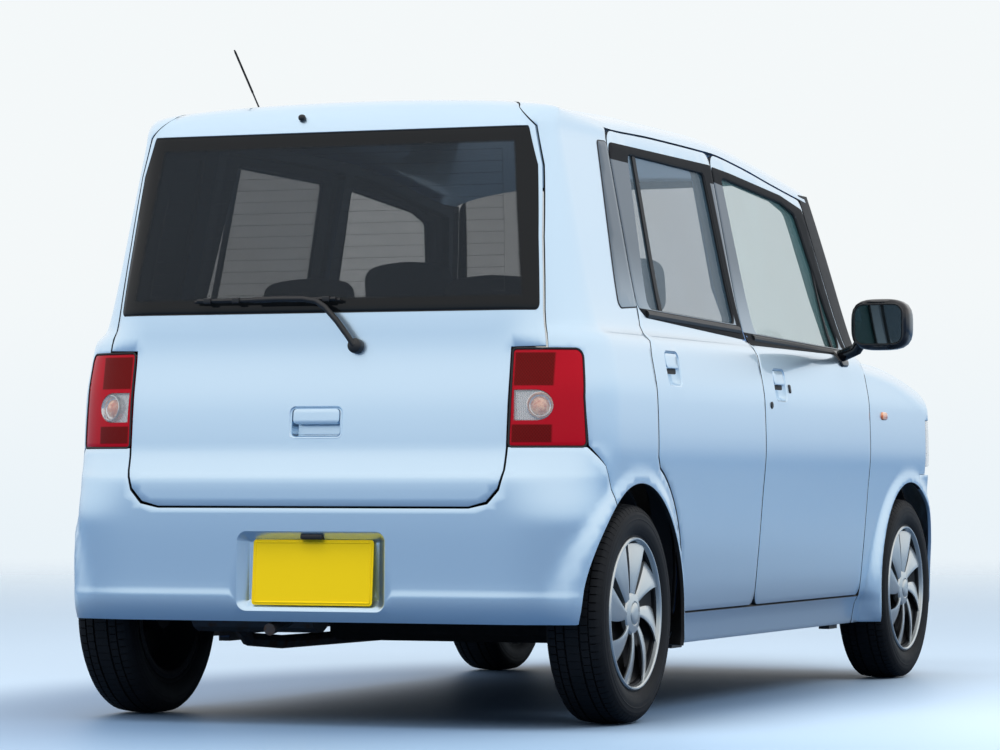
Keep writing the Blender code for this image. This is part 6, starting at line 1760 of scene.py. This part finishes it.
row = on_nose((-0.345, 0.66, 0), (-0.363, 0.795, 0), (0.363, 0.795, 0), (0.345, 0.66, 0))
parts = [panel(nose, dense(row, 0.03), ((0.02, 0.0), (0.04, 0.0)), step=0.04)]
for z in (0.678 + 0.025 * k for k in range(5)):
    reach = 0.338 + (z - 0.66) * 0.13
    low = [Vector((NOSE_MIDDLE + reach * (i / 10 - 1), z)) for i in range(21)]
    high = [Vector((p.x, z + 0.011)) for p in reversed(low)]
    parts.append(panel(nose, low + high, ((0.008, 0.0008), (0.009, 0.0), (0.021, 0.0)),
                       step=0.03))
dress("grille_slats", join(*parts), MOULDED, "body", "grille")


def front_plate_face(a, b):
    return Vector((a, 0.0012 - HALF_LENGTH, b))


deep_yellow = Finish("deep_yellow_plate", rough=0.4)
deep_yellow.colour(deep_yellow.noise(700.0, 2.0), (0.82, 0.56, 0.003), (0.9, 0.64, 0.006))
dress("front_plate_sheet", plate(front_plate_face, 0.3825, 0.003, 0.001), deep_yellow.material,
      "body", "front_plate")

# %% Windscreen
screen_glass = glazing("windscreen_glass", (0.05, 0.085, 0.08), 0.16)
x, y, z = screen_glass.axes()
part = (z - 1.003) * (1.0 / 0.56)
margin = (0.645 - part * 0.1 - x.size())
border = 1.0 - margin.step(0.03, 0.034)
border = (border + 1.0 - part.step(0.03, 0.036) + part.step(0.9, 0.906)).lower(1.0)
screen_glass.colour(border, (0.05, 0.085, 0.08), (0.006, 0.006, 0.007))
screen_glass.set("Alpha", (border + 0.2).lower(1.0))
drawn = dense(filleted([(-0.6, 0.0, 0.03), (0.6, 0.0, 0.03), (0.6, 0.62, 0.05),
                        (-0.6, 0.62, 0.05)]), 0.04)
bm = panel(lambda a, b: screen(a / 0.6, b / 0.62), drawn, ((0.0, 0.001), (0.0006, 0.0),
                                                            (0.005, 0.0)), step=0.05)
dress("windscreen_pane", bm, screen_glass.material, "body", "windscreen")
print("pieces with the front", len(PIECES))

# %% [markdown]
# ## Cabin
# Through the glass one sees seats, headrests and the top of the dashboard. The seats are stuffed,
# so they bulge between their seams: each starts as a soft box with channels pressed into it, and
# a short cloth simulation then blows it up from inside, like a cover over foam.

# %% Cloth and carpet
cloth = Finish("woven_seat_cloth", rough=0.9)
x, y, z = cloth.axes()
weave = ((x * 2100.0).sine() * (z * 2100.0 + y * 2100.0).sine() + 1.0) * 0.5
fleck = cloth.noise(160.0, 3.0, 0.6)
cloth.colour(weave * 0.6 + fleck * 0.4, (0.055, 0.058, 0.066), (0.15, 0.155, 0.165))
cloth.bump(weave, 0.0005, 0.6)
CLOTH = cloth.material

thread = Finish("seat_thread", rough=0.8)
thread.colour(thread.noise(800.0, 2.0), (0.14, 0.14, 0.15), (0.26, 0.26, 0.27))
THREAD = thread.material


# %% Stuffed shapes
def cushion(half, place, lean, channels, groove=0.01):
    """A soft box: channels are (axis, position, width) grooves pressed into its faces."""
    bm = bulging(half, (0, 0, 0), 4.5, 40, 64)
    for v in bm.verts:
        for axis, position, width in channels:
            near = abs(v.co[axis] - position)
            press = groove * exp(-(near / width) ** 2)
            thin = min(range(3), key=lambda i: half[i])
            v.co[thin] -= copysign(press, v.co[thin]) * min(1.0, abs(v.co[thin]) / half[thin])
    return moved(bm, place, Matrix.Rotation(lean, 3, "X"))


def stuffed(bm, most=0.022):
    """Blow a closed shape up a little from inside, as foam fills its cover."""
    thing = in_scene("cover", bm)
    mesh = thing.data
    soft = thing.modifiers.new("soft", "CLOTH")
    soft.settings.quality = 4
    soft.settings.use_pressure = True
    soft.settings.uniform_pressure_force = 4.0
    soft.settings.effector_weights.gravity = 0.0
    soft.settings.tension_stiffness = 40.0
    soft.settings.compression_stiffness = 40.0
    soft.settings.bending_stiffness = 2.0
    before = [v.co.copy() for v in mesh.vertices]
    for step in range(1, 21):
        bpy.context.scene.frame_set(step)
    blown = shape_of(thing)
    for v, start in zip(blown.vertices, before):
        move = v.co - start
        if move.length > most:
            v.co = start + move * (most / move.length)
    bpy.context.scene.frame_set(1)
    bpy.data.objects.remove(thing, do_unlink=True)
    return taken(blown)


# %% Seats
SEAT_X, BACK_Y = 0.32, 0.245
CHANNELS = ((0, -0.13, 0.008), (0, 0.13, 0.008))
for sign, label in SIDES:
    x = sign * SEAT_X
    parts = [cushion((0.236, 0.262, 0.07), (x, -0.045, 0.43), radians(4), CHANNELS),
             cushion((0.232, 0.06, 0.3), (x, BACK_Y, 0.765), radians(-16),
                     CHANNELS + ((2, -0.02, 0.008),)),
             cushion((0.128, 0.046, 0.082), (x, 0.3, 1.15), radians(-10), ())]
    seat = dress("seat_front_" + label, join(*[stuffed(part) for part in parts]), CLOTH, "body",
                 "front_seat_" + label, angle=60)
    posts = swept([[Vector((x + dx, 0.278, 0.98)), Vector((x + dx, 0.297, 1.1))]
                   for dx in (-0.045, 0.045)], 0.006, CHROME, 10)
    dress("headrest_posts_" + label, posts, CHROME, "body")
    base = wall_box((x - 0.205, -0.27, 0.331), (x + 0.205, 0.215, 0.385), 0.012)
    dress("seat_base_" + label, base, MOULDED)

REAR_CHANNELS = ((0, 0.0, 0.01), (0, -0.26, 0.008), (0, 0.26, 0.008))
parts = [cushion((0.5, 0.2, 0.07), (0, 0.8, 0.43), radians(4), REAR_CHANNELS),
         cushion((0.5, 0.055, 0.27), (0, 1.045, 0.735), radians(-17),
                 REAR_CHANNELS + ((2, 0.02, 0.008),))]
parts += [cushion((0.125, 0.042, 0.07), (x, 1.12, 1.075), radians(-8), ())
          for x in (-0.26, 0.26)]
bench = dress("seat_rear", join(*[stuffed(part) for part in parts]), CLOTH, "body",
              "rear_seat", angle=60)
posts = swept([[Vector((x + dx, 1.115, 0.96)), Vector((x + dx, 1.121, 1.04))]
               for x in (-0.26, 0.26) for dx in (-0.045, 0.045)], 0.006, CHROME, 10)
dress("headrest_posts_rear", posts, CHROME, "body")
dress("seat_base_rear", wall_box((-0.47, 0.64, 0.341), (0.47, 0.96, 0.385), 0.012), MOULDED,
      "body")

# %% Stitches
stitch = []
for sign, _ in SIDES:
    for dx in (-0.13, 0.13):
        x = sign * SEAT_X + dx
        for k in range(30):
            y = -0.23 + k * 0.0125
            stitch.append([Vector((x, y, 0.4975 + 0.067 * (y + 0.045))),
                           Vector((x, y + 0.007, 0.4975 + 0.067 * (y + 0.052)))])
dress("seat_stitches", swept(stitch, 0.0009, THREAD, 4), THREAD, "body")


# %% Dashboard and steering wheel
def extruded(profile, low, high, soft=0.012):
    """A bar along X with a rounded profile in (y, z) and softened ends."""
    bm = bmesh.new()
    caps = skin(bm, [[bm.verts.new((x, p.x, p.y)) for p in profile] for x in (low, high)])
    edges = [e for face in caps for e in face.edges]
    bmesh.ops.bevel(bm, geom=edges, offset=soft, segments=3, profile=0.5, affect="EDGES",
                    clamp_overlap=True)
    return bm


DASH = ((-0.8195, 0.62, 0), (-0.8195, 0.95, 0), (-0.7, 0.972, 0.05), (-0.56, 0.95, 0.05),
        (-0.5, 0.89, 0.04), (-0.49, 0.78, 0.03), (-0.53, 0.66, 0.04), (-0.62, 0.61, 0.02))
main = extruded(filleted(DASH, 8), -0.574, 0.574)
hood = extruded(filleted(((-0.64, 0.94, 0.0), (-0.62, 1.012, 0.02), (-0.5, 1.0, 0.02),
                          (-0.515, 0.88, 0.02)), 6), -0.47, -0.17, 0.02)
centre = extruded(filleted(((-0.56, 0.62, 0.0), (-0.52, 0.93, 0.02), (-0.47, 0.9, 0.02),
                            (-0.478, 0.64, 0.02)), 6), -0.125, 0.125, 0.015)
shroud = wall_box((-0.365, -0.52, 0.81), (-0.275, -0.462, 0.89), 0.015)
dress("dash", join(main, hood, centre, shroud), TRIM, "body", "dashboard", angle=40)
vents = [wall_box((x, y, z), (x + 0.085, y + 0.016, z + 0.004), 0.001)
         for x, y in ((-0.54, -0.5), (-0.1, -0.48), (0.01, -0.48), (0.45, -0.5))
         for z in (0.842 + 0.011 * k for k in range(5))]
dress("dash_vents", join(*vents), MOULDED)

hub_at = Vector((-0.32, -0.37, 0.88))
lean = Matrix.Rotation(radians(28), 3, "X")
rim_path = [Vector((0.175 * cos(a), 0, 0.175 * sin(a)))
            for a in (2 * pi * k / 64 for k in range(64))]
rim = swept([rim_path], 0.013, MOULDED, 12, True)
spokes = swept([[Vector((0.03 * dx, 0.0, 0.03 * dz)), Vector((0.17 * dx, 0.0, 0.17 * dz))]
                for dx, dz in ((1.0, 0.05), (-1.0, 0.05), (0.0, -1.0))], 0.0115, MOULDED, 10)
hub = bulging((0.062, 0.022, 0.055), (0, 0, 0), 3.0, 14, 28)
whole = moved(join(rim, spokes, hub), hub_at, lean)
column = swept([[hub_at, hub_at + Vector((0, -0.06, -0.026)),
                 Vector((hub_at.x, -0.4617, hub_at.z - 0.026))]], 0.03, MOULDED, 16)
dress("steering_wheel_rim", join(whole, column), MOULDED, "body", "steering_wheel",
      angle=40)

# %% [markdown]
# ## Pieces that keep their solid
# The frame behind the doors, the floor and everything below it have the right shape already, so
# the solids stay and only take a finish. The frame and the floor have two sides: paint or
# coating outside, and dark trim or carpet in the cabin. The direction a face looks decides which.
# The frame's paint is a deep blue, far darker than the body's, as painted shade in the gaps.
# Inside the wheel arches and below the sill the paint is left out as well. The pillars beside the
# windscreen are drawn anew, in the black of the seals.

# %% Finishes with two sides
def two_sided(name, outer, inner, rough, upwards):
    """Two colours: the inner one is for faces that look to the car's middle, or else upwards."""
    made = Finish(name, rough=rough)
    x, y, z = made.axes()
    normal = made.node("NewGeometry", out="Normal").axes()
    inwards = normal[2].step(0.1, 0.3) if upwards else (0 - x * normal[0]).step(-0.002, 0.002)
    grain = made.noise(300.0, 3.0, 0.6)
    arches = 1.0
    for axle in (FRONT_AXLE_Y, REAR_AXLE_Y):
        reach = ((y - axle) ** 2.0 + (z - TYRE_RADIUS) ** 2.0) ** 0.5
        arches = reach.step(0.395, 0.405) * arches
    arches = arches * z.step(SILL_BOTTOM - 0.004, SILL_BOTTOM)
    shown = arches.mix(inner, grain.mix(outer, [c * 1.2 for c in outer]))
    made.colour(inwards, shown, grain.mix(inner, [c * 1.6 for c in inner]))
    made.bump(grain * inwards, 0.0004, 0.5)
    return made.material


# Painted shade: the frame's outside is dark blue, not the body's pale blue, where it shows in gaps.
FRAME_SHADED_PAINT = two_sided("frame_painted_shade_and_trim", (0.065, 0.15, 0.32), (0.03, 0.031, 0.034),
                        0.5, False)
FLOOR_COAT = two_sided("floor_coating_and_carpet", (0.01, 0.01, 0.01), (0.028, 0.029, 0.032),
                       0.9, True)

# %% Screen pillars
def pillar_rings(sign, steps):
    rings = []
    for k in range(steps + 1):
        part = k / steps
        edge = screen(1.0, part)
        z = edge.z
        top = part == 1.0
        foot = pillar_y(roof_edge_z(-0.54) if top else z) - PANEL_GAP
        wide = half_width(z)
        spots = ((edge.x + 0.0003, edge.y), (wide - 0.01, edge.y - 0.002),
                 (wide - 0.003, edge.y + 0.004), (wide, edge.y + 0.018), (wide, foot),
                 (wide - 0.028, foot), (edge.x + 0.0003, edge.y + 0.02))
        ring_points = []
        for x, y in spots:
            level = roof_edge_z(y) - 0.001 if top else z
            if top:
                x = min(x, half_width(level))
            ring_points.append(Vector((x * sign, y, level)))
        rings.append(ring_points)
    return rings


for sign, label in SIDES:
    bm = bmesh.new()
    skin(bm, [[bm.verts.new(p) for p in points] for points in pillar_rings(sign, 24)])
    dress("skin_pillar_" + label, bm, SEAL, "body", "pillar_" + label, angle=50)

# %% Finishes of the solids
KEPT = {"side_frame_left": FRAME_SHADED_PAINT, "side_frame_right": FRAME_SHADED_PAINT, "floor_pan": FLOOR_COAT,
        "front_structure": UNDER, "front_subframe": STEEL, "fuel_tank": UNDER, "exhaust": STEEL,
        "engine_block": STEEL, "rear_axle": STEEL, "knuckle_left": STEEL, "knuckle_right": STEEL,
        "scuttle": MOULDED}
for name, finish in KEPT.items():
    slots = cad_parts[name].material_slots
    for index in range(len(slots)):
        slots[index].material = finish
print("solids with a new finish", len(KEPT))

# %% [markdown]
# ## Floor, backdrop and light
# The studio is a pale blue floor that fades away into a pale backdrop, so no horizon shows. What
# makes a painted body look round is what it mirrors. So the world is pale to the camera, but to
# the paint it is dark near the ground and bright overhead: each panel that leans back catches
# the bright part, and each upright one stays darker. The floor has two looks for the same reason:
# the camera sees a pale blue with a painted soft shadow round the car and behind the tail, and
# the paint a deeper blue with a painted shadow round the car, darker towards the tail.

# %% Studio
bm = bmesh.new()
bmesh.ops.create_grid(bm, x_segments=1, y_segments=1, size=60.0)
floor = in_scene("floor", bm)
ground = Finish("studio_floor", rough=0.5)
x, y, z = ground.axes()


def distance(middle_x, middle_y, half_x, half_y):
    """How far a place on the floor is from a middle, in parts of an oval's half widths."""
    a, b = (x - middle_x) * (1 / half_x), (y - middle_y) * (1 / half_y)
    return (a * a + b * b) ** 0.5


speckled = ground.noise(0.6, 2.0).mix((0.5, 0.64, 0.79), (0.52, 0.66, 0.81))
# Painted shadow: to the camera the floor is darker behind the tail and in an oval round the car.
painted_shadow_behind_tail = x.step(-3.2, -0.6) * y.step(0.5, 2.4)
pale = painted_shadow_behind_tail.mix(speckled, (0.275, 0.4, 0.55))
seen = distance(0.25, 0.35, 1.35, 2.4).step(0.6, 1.15).mix((0.15, 0.24, 0.375), pale)
# Painted shadow in what the paint mirrors: deeper blue round the car, darker towards the tail.
painted_shade_to_tail = y.step(-1.5, 2.5).mix((0.3, 0.46, 0.64), (0.105, 0.205, 0.35))
mirrored_floor_with_painted_shadow = distance(-0.1, 0.35, 1.7, 2.6).step(1.2, 3.3).mix((0.034, 0.082, 0.16), painted_shade_to_tail)
ground.colour(ground.node("LightPath", out="Is Camera Ray"), mirrored_floor_with_painted_shadow, seen)
ground.set("Alpha", 1.0 - distance(0.0, 0.0, 1.0, 1.0).step(4.5, 20.0))
floor.data.materials.append(ground.material)

world = bpy.data.worlds.new("studio")
bpy.context.scene.world = world
world.use_nodes = True
air = world.node_tree


def sky(low, *steps, lean=0.0):
    """A background that starts with one colour below and takes others as it rises.

    With a lean, the colours lie lower on one side of the sky than on the other.
    """
    y, z = node(air, "ShaderNodeTexCoord", out="Generated").axes()[1:]
    height = y.sum("MULTIPLY_ADD", y, lean, z)
    colour = low
    for foot, top, high in steps:
        colour = height.step(foot, top).mix(colour, high)
    return node(air, "ShaderNodeBackground", sockets={"Color": colour})


layers = sky((0.22, 0.34, 0.5), (-0.02, 0.65, (0.97, 0.99, 1.0)))
mirrored_sky = sky((0.08, 0.15, 0.25), (-0.18, -0.02, (0.15, 0.285, 0.49)),
                   (-0.01, 0.12, (0.8, 0.9, 0.98)), (0.11, 0.3, (1.0, 1.0, 1.0)), lean=-0.05)
backdrop = sky((0.82, 0.895, 0.945), (-0.03, 0.06, (0.905, 0.94, 0.95)))
for kind, seen in (("Is Glossy Ray", mirrored_sky), ("Is Camera Ray", backdrop),
                   ("Is Transmission Ray", backdrop)):
    ray = node(air, "ShaderNodeLightPath", out=kind)
    layers = node(air, "ShaderNodeMixShader", sockets={0: ray, 1: layers, 2: seen})
air.links.new(layers.socket, air.nodes["World Output"].inputs["Surface"])

LIT_SPOT = Vector((0.0, 0.3, 0.8))
LAMPS = (("overhead", (0.8, 2.6, 4.6), 3.6, 120.0), ("behind", (0.6, 5.2, 3.6), 4.0, 60.0),
         ("right", (-3.6, 0.8, 3.4), 3.6, 120.0))
for name, spot, size, power in LAMPS:
    lamp = bpy.data.lights.new(name, "AREA")
    lamp.shape, lamp.size, lamp.size_y = "RECTANGLE", size, size * 0.6
    lamp.energy = power
    holder = bpy.data.objects.new(name, lamp)
    holder.location = spot
    aim = LIT_SPOT - Vector(spot)
    holder.rotation_euler = aim.to_track_quat("-Z", "Y").to_euler()
    bpy.context.collection.objects.link(holder)
    holder.visible_glossy = False

bpy.context.scene.view_settings.view_transform = "Standard"

# %% [markdown]
# The dressed car has to keep the size of the solids. The last call prints how many pieces were
# dressed.

# %% Count of pieces
print("pieces", len(PIECES))
